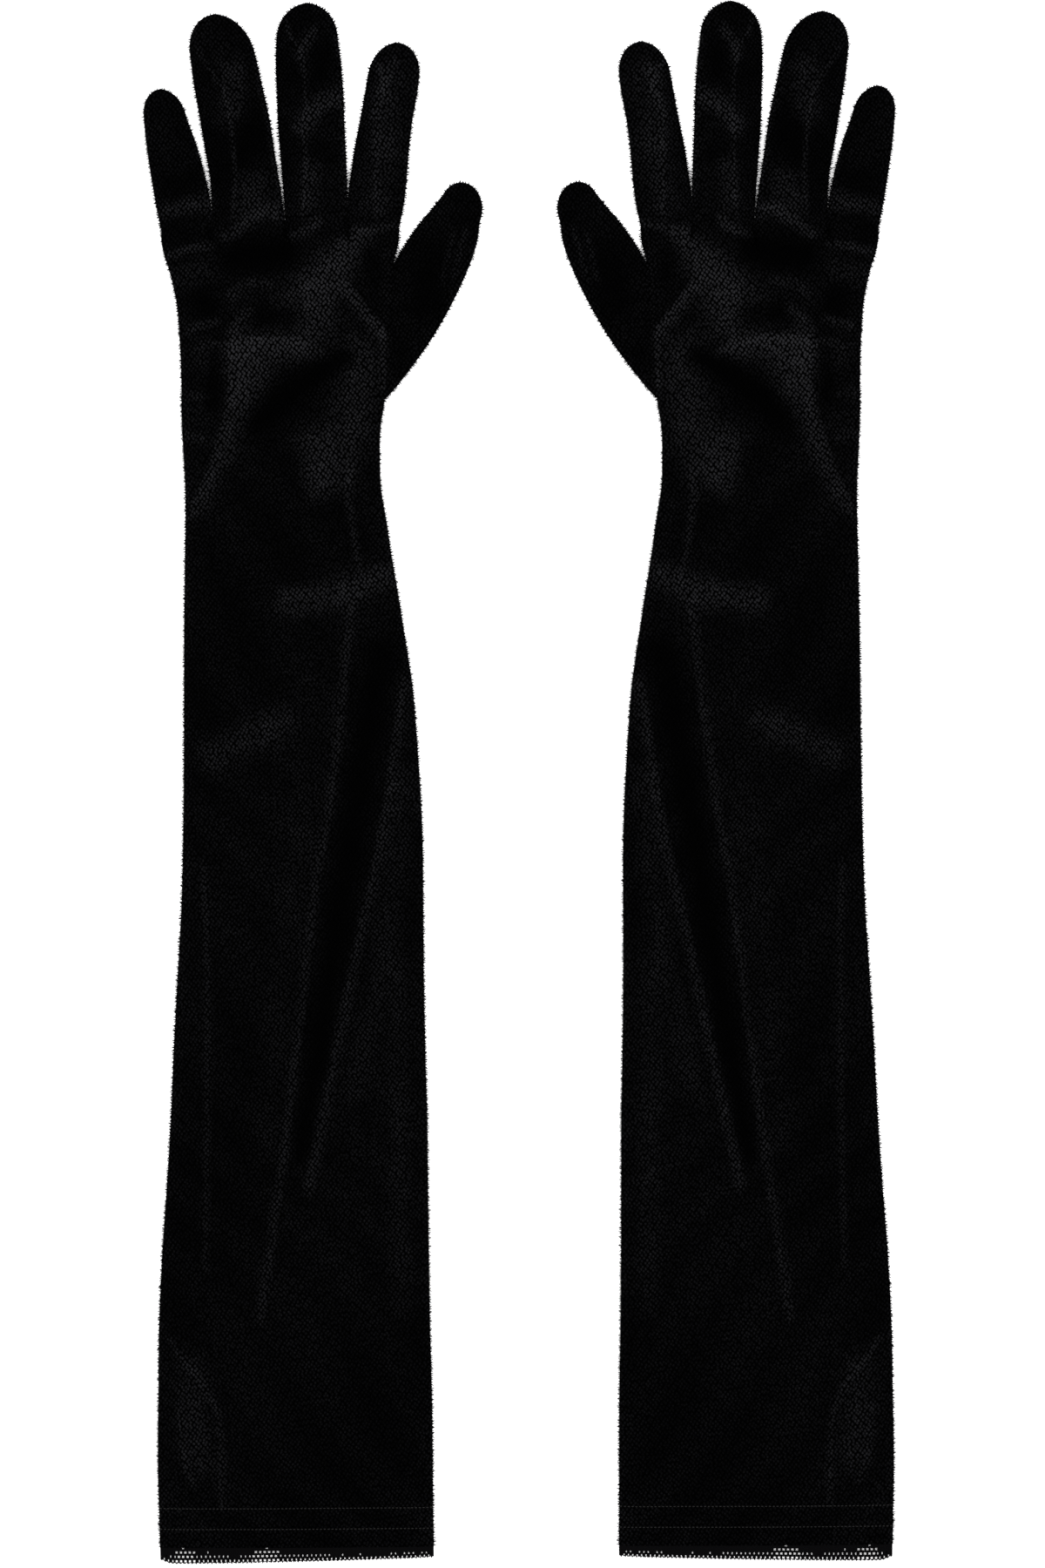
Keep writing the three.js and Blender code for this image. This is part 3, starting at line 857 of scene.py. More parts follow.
@dataclass(frozen=True)
class StallPattern:
    """A stall's flat outline: rows of its low and high edges, then a round tip.

    Each row is low u, low v, high u, high v.
    """

    name: str
    rows: tuple[tuple[float, float, float, float], ...]
    tip: tuple[float, float]
    seams: tuple[Seam, ...] = ()
    crowns: tuple[float, float] = (LOBE_CROWN, LOBE_CROWN)
    edge_height: float = EDGE_HEIGHT
    dome_share: float = 0.2

    def length(self) -> float:
        """The stall's length along its middle, in millimetres."""
        first = self.rows[0]
        middle = ((first[0] + first[2]) / 2, (first[1] + first[3]) / 2)
        return math.hypot(self.tip[0] - middle[0], self.tip[1] - middle[1])

    def width(self) -> float:
        """The stall's greatest flat width, in millimetres."""
        return max(math.hypot(row[2] - row[0], row[3] - row[1]) for row in self.rows)

    def course(self, along: np.ndarray) -> tuple[np.ndarray, np.ndarray, np.ndarray, np.ndarray]:
        """The flat stall at shares along it: its middle's u and v, and its reach across in u and v."""
        curve = through([tuple(row) for row in self.rows], 200)
        steps = np.linspace(0, 1, len(curve))
        body = np.clip(along / (1 - self.dome_share), 0, 1)
        turn = np.clip((along - 1 + self.dome_share) / self.dome_share, 0, 1) * math.pi / 2
        low_u, low_v, high_u, high_v = (np.interp(body, steps, curve[:, k]) for k in range(4))
        mid_u, mid_v = (low_u + high_u) / 2, (low_v + high_v) / 2
        u = mid_u + (self.tip[0] - mid_u) * np.sin(turn)
        v = mid_v + (self.tip[1] - mid_v) * np.sin(turn)
        return u, v, (high_u - low_u) * np.cos(turn), (high_v - low_v) * np.cos(turn)

    def flat_area(self) -> float:
        """The area of the stall's cloth as it is cut, less its fourchettes, in square millimetres."""
        along = np.linspace(0, 1, FLAT_SAMPLES)
        u, v, run_u, run_v = self.course(along)
        layers = 2.0 - sum(seam.taken(along) for seam in self.seams)
        return swept_area(np.stack([u, v], 1), np.stack([run_u, run_v], 1), layers)

    def across(self, share: np.ndarray, over: np.ndarray, along: np.ndarray) -> np.ndarray:
        """Places columns across the stall, so that each seam's column lies on its seam."""
        x = (crowded(2 * share - 1) + 1) / 2
        for seam in self.seams:
            pinned = (crowded(np.array(2 * seam.column / STALL_COLUMNS - 1)) + 1) / 2
            goal = seam.share(along)
            if seam.flank is Flank.OUTWARD:
                before, after = x * goal / pinned, goal + (x - pinned) * (1 - goal) / (1 - pinned)
                x = np.where(over, np.where(x < pinned, before, after), x)
        return x

    def shape(self, drape: "Drape") -> Shape:
        """Builds the stall's shape.

        Args:
            drape: How the upper cloth of the glove lies.

        Returns:
            A shape for sewn. Its first row meets the hand.
        """

        def place(around: np.ndarray, along: np.ndarray) -> tuple[np.ndarray, np.ndarray]:
            over = around <= 0.5
            share = np.where(over, 2 * around, 2 - 2 * around)
            x = self.across(share, over, along)
            mid_u, mid_v, run_u, run_v = self.course(along)
            span = np.hypot(run_u, run_v)
            u = mid_u + (x - 0.5) * run_u
            v = mid_v + (x - 0.5) * run_v
            margin = np.minimum(x, 1 - x) * span
            crown = self.crowns[0] + (self.crowns[1] - self.crowns[0]) * smooth(along * 3)
            edge = rounded(margin, LOBE_REACH)
            rise, nap = drape.relief(u, v)
            away = smooth(along * 9)
            for seam in self.seams:
                off = (x - seam.share(along)) * span
                stitched = away * smooth((seam.until - along) * 12) * np.exp(-((off / 0.8) ** 2))
                rise = rise - 0.7 * stitched
                # Painted highlight in a line just beside each fourchette seam.
                nap = nap + 0.2 * away * np.exp(-(((off + 1.2) / 0.7) ** 2)) * (along < seam.until)
            # Painted rim sheen along the stall's edges.
            nap = nap + RIM_SHEEN_PAINT * np.exp(-margin / RIM_FADE)
            top = self.edge_height + crown * edge + rise * edge**2 * 0.5
            under = self.edge_height + (UNDERSIDE - self.edge_height) * rounded(margin, 5.0)
            height = np.where(over, top, under)
            return np.stack([u, v, height], 1), np.where(over, np.clip(nap, 0, 1), UNDER_NAP)

        return place


def finger_rows(*rows: tuple[float, float, float]) -> tuple[tuple[float, float, float, float], ...]:
    """Turns rows of distance from the cuff, low u and high u into level stall rows."""
    return tuple((low, v, high, v) for v, low, high in rows)


FINGERS = (
    StallPattern(
        "index",
        finger_rows((511, 46.3, 66.3), (521, 44.3, 66), (531, 43.2, 64.7), (541, 42.4, 63.3),
                    (551, 41.2, 61.3), (561, 39.4, 59.4), (569, 38.3, 58)),
        (46.8, 581.7),
        (Seam(Flank.OUTWARD, 12, ((0, 0.5), (0.1, 0.54), (0.4, 0.66), (0.66, 0.78), (0.82, 0.95))),),
    ),
    StallPattern(
        "middle",
        finger_rows((511, 66.3, 89.7), (523, 66.1, 90.4), (536, 66.4, 91.4), (549, 67, 92.4),
                    (561, 67.4, 92.8), (573, 68.2, 93.2), (583, 69.4, 93)),
        (81, 597),
        (Seam(Flank.THUMBWARD, 4, ((0, 0.074), (1, 0.074))),
         Seam(Flank.OUTWARD, 17,
              ((0, 0.795), (0.12, 0.72), (0.28, 0.66), (0.6, 0.6), (0.74, 0.66), (0.86, 0.94)), 0.86)),
    ),
    StallPattern(
        "ring",
        finger_rows((511, 89.7, 118.2), (521, 91, 118), (531, 92.5, 118.7), (542, 94.2, 120.6),
                    (553, 95.8, 122.4), (566, 98.6, 124.6), (577, 101, 126)),
        (116.2, 592.9),
        (Seam(Flank.THUMBWARD, 4, ((0, 0.074), (1, 0.074))),
         Seam(Flank.OUTWARD, 16, ((0, 0.74), (0.12, 0.74), (0.4, 0.62), (0.62, 0.6), (0.82, 0.93)))),
    ),
    StallPattern(
        "little",
        finger_rows((511, 118.2, 137.5), (518, 118.2, 139), (526, 119.4, 140.4), (535, 121.5, 141.8),
                    (544, 124.1, 143), (553, 127.4, 143.9)),
        (137.3, 564.4),
        (Seam(Flank.THUMBWARD, 4, ((0, 0.074), (1, 0.074))),),
    ),
)
THUMB = StallPattern(
    "thumb",
    ((57, 441, 56, 491), (50, 447.5, 50, 495.2), (43, 456, 47.3, 498.7), (35, 467, 45.4, 502.4),
     (27.6, 479.3, 42, 507.8), (21, 492.7, 38, 513.2), (16.7, 504.5, 33.6, 518.4),
     (15.5, 513.2, 29.5, 523.5)),
    (18.3, 526.9),
    crowns=(1.0, 4.4),
    edge_height=2.4,
    dome_share=0.16,
)


@dataclass(frozen=True)
class BodyPattern:
    """The outline and the height of the sleeve and hand in pattern space.

    Each outline row is a distance from the cuff, then the inner and the outer edge.
    """

    outline: tuple[tuple[float, float, float], ...] = (
        (0, 35.3, 140.3), (18, 35.6, 140.6), (38, 35.7, 141), (64, 35.9, 140.7), (91, 36.5, 140.3),
        (118, 36.8, 139), (144, 37, 137.1), (171, 37.2, 135.4), (198, 37.8, 134.1), (224, 38.2, 132.6),
        (251, 38.3, 131), (278, 38.5, 130.2), (304, 39.7, 129.8), (331, 41.6, 129.6), (344, 43.2, 129.5),
        (358, 45.4, 129.4), (371, 47.4, 129.2), (384, 49.6, 129), (398, 51.6, 128.7), (411, 53.7, 128.7),
        (422, 54.1, 129.2), (434, 53.9, 129.8), (441, 52.7, 130), (450, 51.6, 130), (464, 50.9, 130.3),
        (481, 50, 131.5), (491, 49.4, 133.4), (501, 48.6, 135.4), (506, 47.4, 136.4), (511, 46.3, 137.5),
    )
    drape: Drape = field(default_factory=Drape)
    crown: float = 5.9
    cuff_share: float = 0.4
    cuff_rise: float = 80.0
    edge_reach: float = 17.0
    under_reach: float = 5.0
    lobe_from: float = 492.0
    thumb_zone: tuple[float, float] = (436.0, 505.0)
    thumb_lift: float = 2.4
    thumb_depth: float = 24.0
    stitch_rows: tuple[float, float] = (13.0, 21.0)

    def edges(self, v: np.ndarray) -> tuple[np.ndarray, np.ndarray]:
        """The inner and outer edge at distances from the cuff."""
        rows = through([tuple(row) for row in self.outline], 12 * len(self.outline))
        return np.interp(v, rows[:, 0], rows[:, 1]), np.interp(v, rows[:, 0], rows[:, 2])

    def stretch(self, first: float, last: float, inset: float = 0.0) -> Shape:
        """The sleeve and hand between two distances from the cuff, as a closed tube.

        Args:
            first: Where the piece starts.
            last: Where it ends.
            inset: How far the surface lies inside the velvet's, in millimetres.

        Returns:
            A shape for sewn. Its columns meet the finger stalls' columns at the crotch line.
        """

        def place(around: np.ndarray, along: np.ndarray) -> tuple[np.ndarray, np.ndarray]:
            over = around <= 0.5
            share = np.where(over, 2 * around, 2 - 2 * around)
            return self.point(share, over, first + (last - first) * along, inset)

        return place

    def lobe(self, share: np.ndarray) -> tuple[np.ndarray, np.ndarray]:
        """Where the columns lie on the crotch line, and how far inside their finger's edges."""
        stall = np.minimum((share * len(FINGERS) + 1e-9).astype(int), len(FINGERS) - 1)
        x = (crowded(2 * (share * len(FINGERS) - stall) - 1) + 1) / 2
        low = np.array([finger.rows[0][0] for finger in FINGERS])[stall]
        high = np.array([finger.rows[0][2] for finger in FINGERS])[stall]
        return low + (high - low) * x, np.minimum(x, 1 - x) * (high - low)

    def point(
        self, share: np.ndarray, over: np.ndarray, v: np.ndarray, inset: float
    ) -> tuple[np.ndarray, np.ndarray]:
        """Places points of the sleeve and hand.

        Args:
            share: Share of the way from the thumb-side edge to the outer edge.
            over: True on the upper cloth.
            v: Distance from the cuff edge.
            inset: How far the surface lies inside the velvet's.

        Returns:
            Places in the pattern and the pile brightness there, with painted sheen and painted shade.
        """
        inner, outer = self.edges(v)
        half = (outer - inner) / 2 - inset
        x = crowded(2 * share - 1)
        lobe_u, lobe_margin = self.lobe(share)
        lobed = smooth((v - self.lobe_from) / (CROTCH_LINE - self.lobe_from))
        body_u = (inner + outer) / 2 + half * x
        u = body_u + (lobe_u - body_u) * lobed
        margin = half * (1 - np.abs(x))
        zone = smooth((v - self.thumb_zone[0]) / 10) * smooth((self.thumb_zone[1] - v) / 10)
        lift = self.thumb_lift * zone * smooth(1 - (u - inner) / self.thumb_depth)
        rise, nap = self.drape.relief(u, v)
        edge_height = EDGE_HEIGHT + 0.7 * lift
        full = self.cuff_share + (1 - self.cuff_share) * smooth(v / self.cuff_rise)
        roof = EDGE_HEIGHT + self.crown * full + 0.3 * smooth((v - 380) / 60) - edge_height
        edge = rounded(margin, self.edge_reach)
        top = edge_height + (roof + rise - self.sunk(v)) * edge
        lobe_edge = rounded(lobe_margin, LOBE_REACH)
        lobe_top = EDGE_HEIGHT + LOBE_CROWN * lobe_edge + rise * lobe_edge**2 * 0.5
        top = top + (lobe_top - top) * lobed - inset
        floor_gap = UNDERSIDE + 1.45 * lift - edge_height
        under = edge_height + floor_gap * rounded(margin, self.under_reach)
        lobe_under = EDGE_HEIGHT + (UNDERSIDE - EDGE_HEIGHT) * rounded(lobe_margin, self.under_reach)
        under = under + (lobe_under - under) * lobed + inset
        height = np.where(over, np.maximum(top, under), under)
        height = np.where(margin < 1e-6, edge_height, height)
        # Painted rim sheen along the edges, fading out into the finger lobes.
        nap = nap + RIM_SHEEN_PAINT * np.exp(-margin / RIM_FADE) * (1 - lobed)
        return np.stack([u, v, height], 1), np.where(over, np.clip(nap, 0, 1), UNDER_NAP)

    def sunk(self, v: np.ndarray) -> np.ndarray:
        """How far the two stitch rows pull the cloth down, in millimetres."""
        return sum(0.5 * np.exp(-(((v - row) / 1.1) ** 2)) for row in self.stitch_rows)

    def flat_area(self, first: float, last: float) -> float:
        """The area of both layers of flat cloth between two distances from the cuff, in mm2."""
        v = np.linspace(first, last, FLAT_SAMPLES)
        inner, outer = self.edges(v)
        middle = np.stack([(inner + outer) / 2, v], 1)
        return swept_area(middle, np.stack([outer - inner, np.zeros(v.shape)], 1), 2.0)

    def girth(self, v: float) -> float:
        """The flat cloth's measure round the tube at a distance from the cuff."""
        inner, outer = self.edges(np.array([v]))
        return SLEEVE_GIRTH * float(outer[0] - inner[0])


# ---- Parts of a glove ----
@dataclass(frozen=True)
class Sleeve:
    """The long velvet tube from the cuff's raw edge to the wrist, with its two hem rows."""

    side: Side
    pattern: BodyPattern
    wardrobe: Wardrobe
    columns: int = 8 * STALL_COLUMNS
    row_pitch: float = 2.0
    hem_length: float = 24.0
    hem_pitch: float = 1.0
    elbow_turn: tuple[float, float] = (153.0, 190.0)
    wrist_turn: tuple[float, float] = (403.0, 436.0)

    def build(self, edging: list[bpy.types.Object]) -> list[bpy.types.Object]:
        """Builds the upper sleeve and the forearm sleeve.

        Args:
            edging: The cuff's own pieces, which are sewn to the upper sleeve.

        Returns:
            The two sleeves.
        """
        upper = self.tube("velvet_upper_sleeve", CUFF_NET_END, SLEEVE_SPLIT, edging)
        word = self.side.word
        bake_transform(upper, f"{word}_upper_arm", f"{word}_forearm", *map(place_along, self.elbow_turn))
        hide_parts(f"{self.side.word}_upper_sleeve")
        lower = self.tube("velvet_forearm_sleeve", SLEEVE_SPLIT, WRIST_SPLIT, [])
        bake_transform(lower, f"{word}_forearm", f"{word}_hand", *map(place_along, self.wrist_turn))
        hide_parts(f"{self.side.word}_forearm_sleeve")
        return [upper, lower]

    def tube(self, name: str, first: float, last: float, edging: list[bpy.types.Object]) -> bpy.types.Object:
        """Builds one stretch of the sleeve between two distances from the cuff."""
        hem = self.hem_length if edging else 0.0
        split = hem / (last - first)
        rows = round((last - first - hem) / self.row_pitch)
        panels = [Panel((0.0, 1.0), self.columns, (split, 1.0), rows)]
        if edging:
            panels.append(Panel((0.0, 1.0), self.columns, (0.0, split), round(hem / self.hem_pitch)))
        shape = self.pattern.stretch(first, last)
        piece = sewn(f"{self.side.word}_{name}", panels, shape, self.side, CLOTH_THICKNESS, last - first)
        dress(piece, self.wardrobe.velvet)
        widest = max(self.pattern.girth(v) for v in np.linspace(first, last, 9))
        self.pattern.flat_area(first, last)
        return piece


@dataclass(frozen=True)
class Hand:
    """The hand of the glove, from the wrist to the line where the fingers part."""

    side: Side
    pattern: BodyPattern
    wardrobe: Wardrobe
    columns: int = 8 * STALL_COLUMNS
    row_pitch: float = 1.5

    def build(self) -> bpy.types.Object:
        """Builds the hand as one closed tube with four lobes at its far end."""
        rows = round((CROTCH_LINE - WRIST_SPLIT) / self.row_pitch)
        panel = Panel((0.0, 1.0), self.columns, (0.0, 1.0), rows)
        shape = self.pattern.stretch(WRIST_SPLIT, CROTCH_LINE)
        piece = sewn(
            f"{self.side.word}_velvet_hand", [panel], shape, self.side, CLOTH_THICKNESS,
            CROTCH_LINE - WRIST_SPLIT,
        )
        dress(piece, self.wardrobe.velvet)
        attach(piece, f"{self.side.word}_hand")
        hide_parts(f"{self.side.word}_hand_shell")
        area = self.pattern.flat_area(WRIST_SPLIT, CROTCH_LINE)
        self.pattern.girth(CROTCH_LINE)
        return piece


@dataclass(frozen=True)
class Stalls:
    """The thumb, the four finger stalls and the fourchettes let into the fingers' sides."""

    side: Side
    drape: Drape
    wardrobe: Wardrobe
    row_pitch: float = 1.5
    wall: float = 0.8
    finger_turn: tuple[float, float] = (512.0, 527.0)
    thumb_hinge: tuple[float, float] = (50.55, 470.0)
    thumb_across: tuple[float, float] = (-0.998, -0.056)
    thumb_turn: float = 10.0

    def build(self) -> list[bpy.types.Object]:
        """Builds every stall with its fourchettes."""
        pieces = [self.thumb()]
        for finger in FINGERS:
            pieces.extend(self.finger(finger))
        return pieces

    def finger(self, finger: StallPattern) -> list[bpy.types.Object]:
        """Builds one finger stall and a strip for each of its fourchettes."""
        rows = round(finger.length() / self.row_pitch)
        shape = finger.shape(self.drape)
        taken = []
        pieces = []
        for seam in finger.seams:
            first, last = self.strip(seam)
            stop = round(seam.until * rows)
            taken.append((first, last, stop))
            columns = last - first
            panel = Panel(self.shares(first, last), columns, (0.0, stop / rows), stop)
            name = f"{self.side.word}_{finger.name}_{seam.flank.name.lower()}"
            piece = sewn(f"{name}_gusset", [panel], shape, self.side, self.wall)
            dress(piece, self.wardrobe.gusset)
            self.bend_finger(piece, finger)
            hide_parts(f"{name}_fourchette")
            pieces.append(piece)
        body = sewn(
            f"{self.side.word}_velvet_{finger.name}", self.rest_of(taken, rows), shape, self.side, self.wall,
            finger.length(),
        )
        dress(body, self.wardrobe.velvet)
        self.bend_finger(body, finger)
        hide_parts(f"{self.side.word}_{finger.name}_stall")
        finger.length()
        finger.flat_area()
        return [body, *pieces]

    def strip(self, seam: Seam) -> tuple[int, int]:
        """The first and last column of a fourchette, counted round the stall."""
        if seam.flank is Flank.OUTWARD:
            return seam.column, STALL_COLUMNS + UNDER_STRIP_COLUMNS
        return 2 * STALL_COLUMNS - UNDER_STRIP_COLUMNS, 2 * STALL_COLUMNS + seam.column

    def shares(self, first: int, last: int) -> tuple[float, float]:
        """Turns columns into shares round a stall."""
        return first / (2 * STALL_COLUMNS), last / (2 * STALL_COLUMNS)

    def rest_of(self, taken: list[tuple[int, int, int]], rows: int) -> list[Panel]:
        """The panels of a stall that its fourchettes leave.

        Args:
            taken: The columns and the last row of each fourchette.
            rows: How many rows the whole stall has.

        Returns:
            Panels that fill the rest of the tube.
        """
        whole = 2 * STALL_COLUMNS
        levels = sorted({0, rows, *(stop for _, _, stop in taken)})
        panels = []
        for low, high in zip(levels, levels[1:]):
            here = sorted((first, last) for first, last, stop in taken if stop >= high)
            if not here:
                panels.append(Panel((0.0, 1.0), whole, (low / rows, high / rows), high - low))
                continue
            for k, (_, last) in enumerate(here):
                following = here[(k + 1) % len(here)][0]
                goal = following if following > last else following + whole
                start = last
                if start >= whole:
                    start, goal = start - whole, goal - whole
                goal = goal if goal > start else goal + whole
                along = (low / rows, high / rows)
                panels.append(Panel(self.shares(start, goal), goal - start, along, high - low))
        return panels

    def bend_finger(self, piece: bpy.types.Object, finger: StallPattern) -> None:
        """Makes a piece of a finger turn smoothly from the hand to the finger."""
        ends = map(place_along, self.finger_turn)
        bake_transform(piece, f"{self.side.word}_hand", f"{self.side.word}_{finger.name}", *ends)

    def thumb(self) -> bpy.types.Object:
        """Builds the thumb, whose root lies under the edge of the hand."""
        rows = round(THUMB.length() / self.row_pitch)
        panel = Panel((0.0, 1.0), 3 * STALL_COLUMNS, (0.0, 1.0), rows)
        piece = sewn(
            f"{self.side.word}_velvet_thumb", [panel], THUMB.shape(self.drape), self.side, self.wall,
            THUMB.length(),
        )
        dress(piece, self.wardrobe.velvet)
        u, v = self.thumb_hinge
        far_u, far_v = u + self.thumb_across[0] * self.thumb_turn, v + self.thumb_across[1] * self.thumb_turn
        start = (self.side.value * u * MM, (v - LENGTH_MM / 2) * MM, 0.0)
        end = (self.side.value * far_u * MM, (far_v - LENGTH_MM / 2) * MM, 0.0)
        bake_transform(piece, f"{self.side.word}_hand", f"{self.side.word}_thumb", start, end)
        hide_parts(f"{self.side.word}_thumb_stall")
        THUMB.length()
        THUMB.flat_area()
        return piece


@dataclass(frozen=True)
class Cuff:
    """The cuff: its bare knit edge, the elastic tape inside and the two rows of stitches."""

    side: Side
    pattern: BodyPattern
    wardrobe: Wardrobe
    net_pitch: float = 0.42
    net_wall: float = 0.35
    net_inset: float = 0.1
    net_overlap: float = 0.8
    flat_width: float = 105.0
    hole_step: int = 4
    well_worn: float = 2.5
    edge_skew: float = 2.0
    fray: float = 0.5
    corner_round: float = 1.3
    corner_share: float = 0.025
    under_setback: float = 5.2
    worn: tuple[tuple[float, float, float], ...] = (
        (0.91, 0.055, 2.3),
        (0.8, 0.05, 1.3),
        (0.62, 0.065, 2.2),
        (0.46, 0.1, 1.1),
        (0.09, 0.07, 0.8),
    )
    tape_span: tuple[float, float] = (13.4, 20.8)
    tape_wall: float = 0.6
    stitch_pitch: float = 1.4
    stitch_proud: float = 0.04
    stitch_size: tuple[float, float, float] = (0.8, 0.34, 0.22)

    def build(self) -> list[bpy.types.Object]:
        """Builds the net, the tape and the stitches."""
        return [self.net(), self.tape(), self.stitches()]

    def net(self) -> bpy.types.Object:
        """Builds the bare knit edge, with its open mesh."""
        top_columns = round(self.flat_width / self.net_pitch / self.hole_step) * self.hole_step
        rows = round((CUFF_NET_END + self.net_overlap) / self.net_pitch)
        end = rows * self.net_pitch
        bm = bmesh.new()
        bmesh.ops.create_grid(bm, x_segments=2 * top_columns, y_segments=rows, size=1.0)
        holes = [face for face in bm.faces if self.is_hole(face.calc_center_median(), rows, top_columns)]
        flat = np.array([vert.co[:2] for vert in bm.verts])
        around = np.round((flat[:, 0] + 1) * top_columns) / (2 * top_columns)
        along = np.round((flat[:, 1] + 1) / 2 * rows) / rows
        over = around <= 0.5
        share = np.where(over, 2 * around, 2 - 2 * around)
        even = evened(2 * share - 1)
        frayed = np.where(along == 0, self.fray * np.sin(share * 611.0) * np.sin(share * 173.0), 0.0)
        inward = smooth(np.minimum(share, 1 - share) * 14) * np.where(over, 0.0, self.under_setback)
        skewed = self.edge_skew * (1 - share) ** 1.6
        skewed = skewed + self.corner_round * np.exp(-(((1 - share) / self.corner_share) ** 2))
        v = (end - inward) * along + inward + frayed + skewed * (1 - along)
        places, _ = self.pattern.point((even + 1) / 2, over, v, self.net_inset)
        places[:, 2] = np.maximum(places[:, 2], UNDERSIDE + self.net_wall)
        for vert, place in zip(bm.verts, to_frame(places, self.side)):
            vert.co = place
        bmesh.ops.delete(bm, geom=holes, context="FACES")
        bmesh.ops.remove_doubles(bm, verts=bm.verts[:], dist=JOIN_WITHIN)
        bmesh.ops.recalc_face_normals(bm, faces=bm.faces[:])
        turn_outward(bm)
        piece = finished(f"{self.side.word}_knit_edge", bm)
        wall = piece.modifiers.new("yarn_thickness", "SOLIDIFY")
        wall.thickness = self.net_wall * MM
        wall.offset = -1.0
        dress(piece, self.wardrobe.yarn)
        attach(piece, f"{self.side.word}_upper_arm")
        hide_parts(f"{self.side.word}_raw_edge")
        return piece

    def is_hole(self, cell: Vector, rows: int, top_columns: int) -> bool:
        """Whether a cell of the net's flat grid is open.

        Args:
            cell: The cell's middle, from -1 to 1 both ways.
            rows: The grid's rows.
            top_columns: The grid's columns on one side of the cuff.

        Returns:
            True for a hole. The holes are staggered, and go deeper and are wider where it is worn.
        """
        row = int((cell.y + 1) / 2 * rows)
        column = int((cell.x + 1) * top_columns)
        if column >= top_columns:
            return False
        line, inside = divmod(row - 1, self.hole_step)
        share = column / top_columns
        lines = 1.0
        for middle, reach, more in self.worn:
            lines += more * math.exp(-(((share - middle) / reach) ** 2))
        ragged = 0.9 * math.sin(line * 4.1 + (column // self.hole_step) * 2.3) ** 2
        width = 2 if lines > self.well_worn else 1
        if row < 1 or inside > 1 or line > 0 and line + ragged > lines:
            return False
        return 1 < column < top_columns - 2 and (column + 2 * (line % 2)) % self.hole_step < width

    def tape(self) -> bpy.types.Object:
        """Builds the elastic tape that grips the arm, just inside the cuff."""
        first, last = self.tape_span
        panel = Panel((0.0, 1.0), 4 * STALL_COLUMNS, (0.0, 1.0), 8)
        shape = self.pattern.stretch(first, last, inset=CLOTH_THICKNESS + 0.15)
        piece = sewn(f"{self.side.word}_elastic_tape", [panel], shape, self.side, self.tape_wall)
        dress(piece, self.wardrobe.tape)
        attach(piece, f"{self.side.word}_upper_arm")
        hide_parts(f"{self.side.word}_grip_elastic")
        return piece

    def stitches(self) -> bpy.types.Object:
        """Builds both rows of small stitches round the cuff."""
        bm = bmesh.new()
        for row in self.pattern.stitch_rows:
            inner, outer = (float(edge[0]) for edge in self.pattern.edges(np.array([row])))
            count = int((outer - inner - 3.0) / self.stitch_pitch)
            shares = (np.arange(count) + 0.5) / count
            places_across = (evened(2 * shares - 1) + 1) / 2
            for over in (True, False):
                here = np.full(count, over)
                places, _ = self.pattern.point(places_across, here, np.full(count, row), 0.0)
                places[:, 2] += np.where(here, self.stitch_proud, -self.stitch_proud)
                for place in to_frame(places, self.side):
                    self.stitch(bm, Vector(place))
        piece = finished(f"{self.side.word}_hem_stitches", bm)
        dress(piece, self.wardrobe.thread)
        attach(piece, f"{self.side.word}_upper_arm")
        return piece

    def stitch(self, bm: bmesh.types.BMesh, place: Vector) -> None:
        """Adds one stitch, a short bar with rounded ends, lying across the glove."""
        size = Vector(self.stitch_size) * MM
        stand = Matrix.Translation(place) @ Matrix.Diagonal((*size, 1.0))
        made = bmesh.ops.create_cube(bm, size=1.0, matrix=stand)
        edges = {edge for vert in made["verts"] for edge in vert.link_edges}
        bmesh.ops.bevel(
            bm, geom=list(edges), offset=0.3 * size.z, segments=1, profile=0.5, affect="EDGES", material=-1
        )


@dataclass(frozen=True)
class Glove:
    """One whole glove."""

    side: Side
    wardrobe: Wardrobe

    def build(self) -> None:
        """Builds the glove's parts in order and reports them."""
        pattern = BodyPattern()
        pieces = Cuff(self.side, pattern, self.wardrobe).build()
        pieces.extend(Sleeve(self.side, pattern, self.wardrobe).build(list(pieces)))
        pieces.append(Hand(self.side, pattern, self.wardrobe).build())
        pieces.extend(Stalls(self.side, pattern.drape, self.wardrobe).build())
        for piece in pieces:
            log.info("%s: %d faces", piece.name, len(piece.data.polygons))


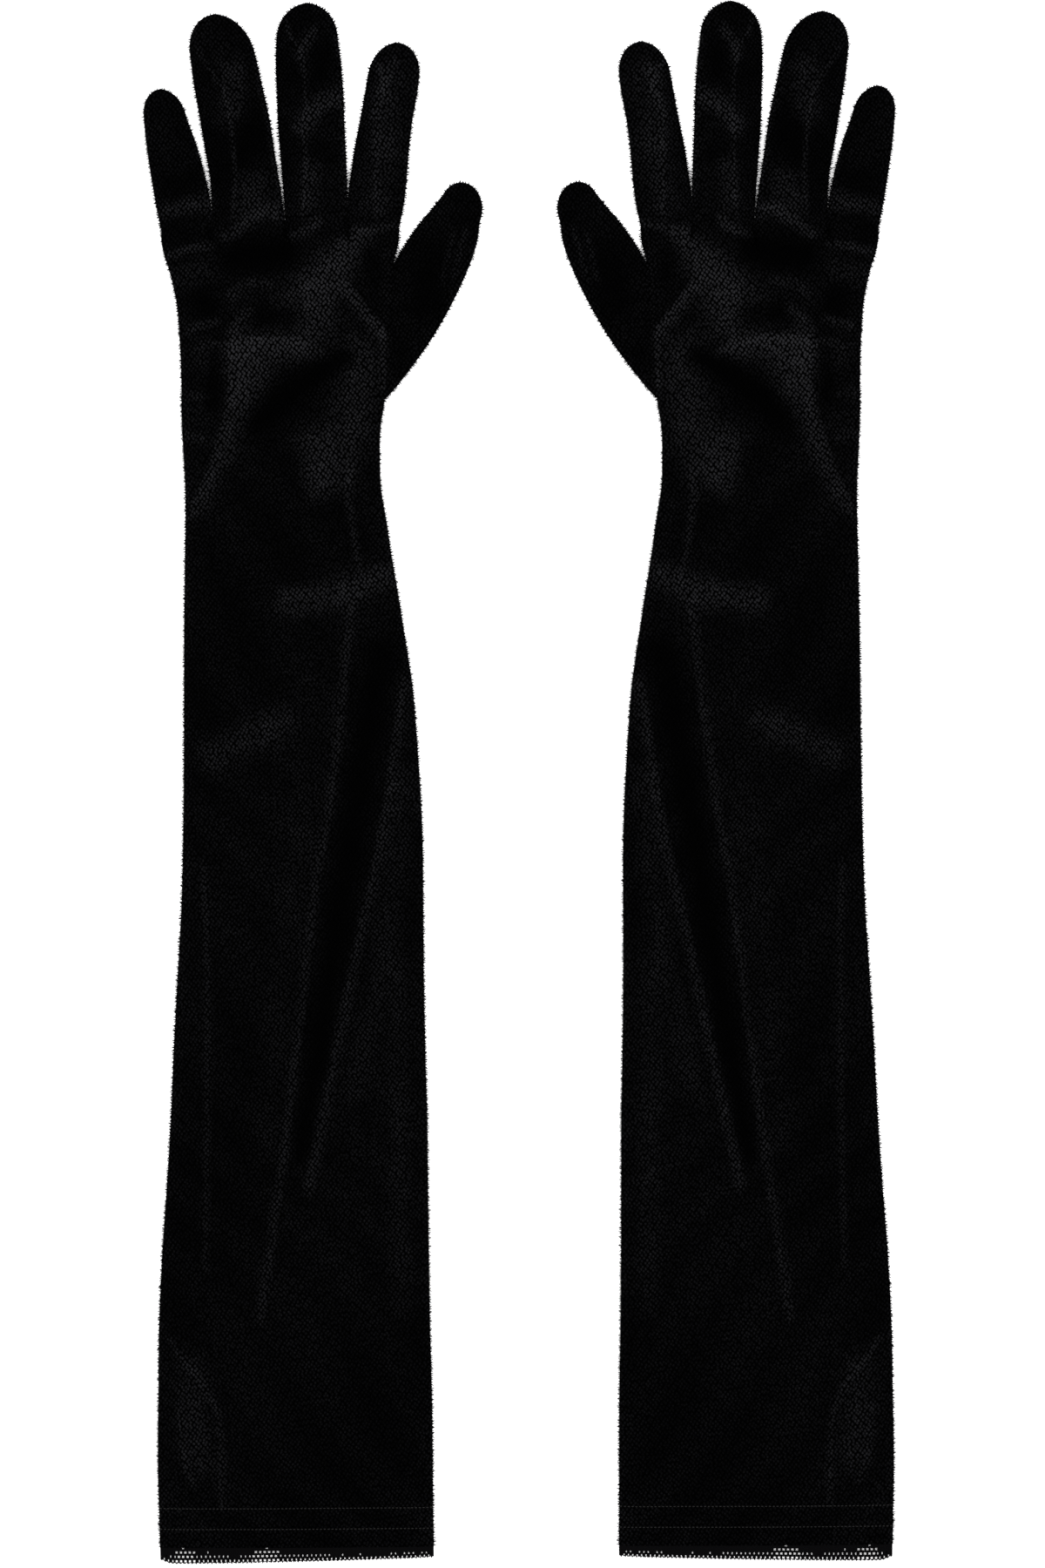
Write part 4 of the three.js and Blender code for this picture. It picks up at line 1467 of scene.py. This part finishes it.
# ---- Studio ----
@dataclass(frozen=True)
class Studio:
    """The pale floor, the soft lights and the camera, straight above the gloves."""

    floor_size: float = 14.0
    floor_shade: tuple[float, float, float, float] = (0.93, 0.925, 0.93, 1.0)
    floor_glow: float = 0.1
    lens: float = 100.0
    sensor: float = 36.0
    frame_height: float = 0.6
    target: tuple[float, float, float] = (-0.00005, -0.00067, 0.005)
    roll_deg: float = -0.28
    key_energy: float = 70.0
    fill: float = 1.15

    def build(self) -> None:
        """Builds the floor, the lights and the camera."""
        self.floor()
        self.lights()
        self.camera()

    def floor(self) -> None:
        """Builds the floor as one plain sheet."""
        bm = bmesh.new()
        bmesh.ops.create_grid(bm, x_segments=1, y_segments=1, size=self.floor_size / 2)
        floor = finished("studio_floor", bm)
        material = bpy.data.materials.new("pale_floor")
        material.use_nodes = True
        shader = material.node_tree.nodes["Principled BSDF"]
        shader.inputs["Base Color"].default_value = self.floor_shade
        shader.inputs["Roughness"].default_value = 0.9
        shader.inputs["Specular IOR Level"].default_value = 0.0
        shader.inputs["Emission Color"].default_value = (1.0, 1.0, 1.0, 1.0)
        shader.inputs["Emission Strength"].default_value = self.floor_glow
        floor.data.materials.append(material)

    def lights(self) -> None:
        """Hangs a large soft box over the fingers' end and fills from all round."""
        lamp = bpy.data.lights.new("soft_box", "AREA")
        lamp.shape = "RECTANGLE"
        lamp.size, lamp.size_y = 2.4, 2.0
        lamp.energy = self.key_energy
        holder = bpy.data.objects.new("soft_box", lamp)
        holder.location = (0.0, 0.5, 2.0)
        holder.rotation_euler = (-holder.location).to_track_quat("-Z", "Y").to_euler()
        bpy.context.scene.collection.objects.link(holder)
        world = bpy.data.worlds.new("studio_fill")
        world.use_nodes = True
        sky = world.node_tree.nodes["Background"]
        sky.inputs["Color"].default_value = (1.0, 1.0, 1.0, 1.0)
        sky.inputs["Strength"].default_value = self.fill
        bpy.context.scene.world = world
        bpy.context.scene.view_settings.view_transform = "Standard"

    def camera(self) -> None:
        """Sets the camera over the middle of the pair, looking straight down."""
        data = bpy.data.cameras.new("overhead")
        data.lens = self.lens
        data.sensor_width = self.sensor
        data.sensor_fit = "AUTO"
        eye = bpy.data.objects.new("overhead", data)
        distance = self.frame_height * self.lens / self.sensor
        eye.location = Vector(self.target) + Vector((0.0, 0.0, distance))
        eye.rotation_euler = (0.0, 0.0, math.radians(self.roll_deg))
        bpy.context.scene.collection.objects.link(eye)
        bpy.context.scene.camera = eye


def main() -> None:
    """Builds both gloves and the studio."""
    logging.basicConfig(level=logging.INFO)
    wardrobe = make_wardrobe()
    for side in Side:
        Glove(side, wardrobe).build()
    Studio().build()


if __name__ == "__main__":
    main()
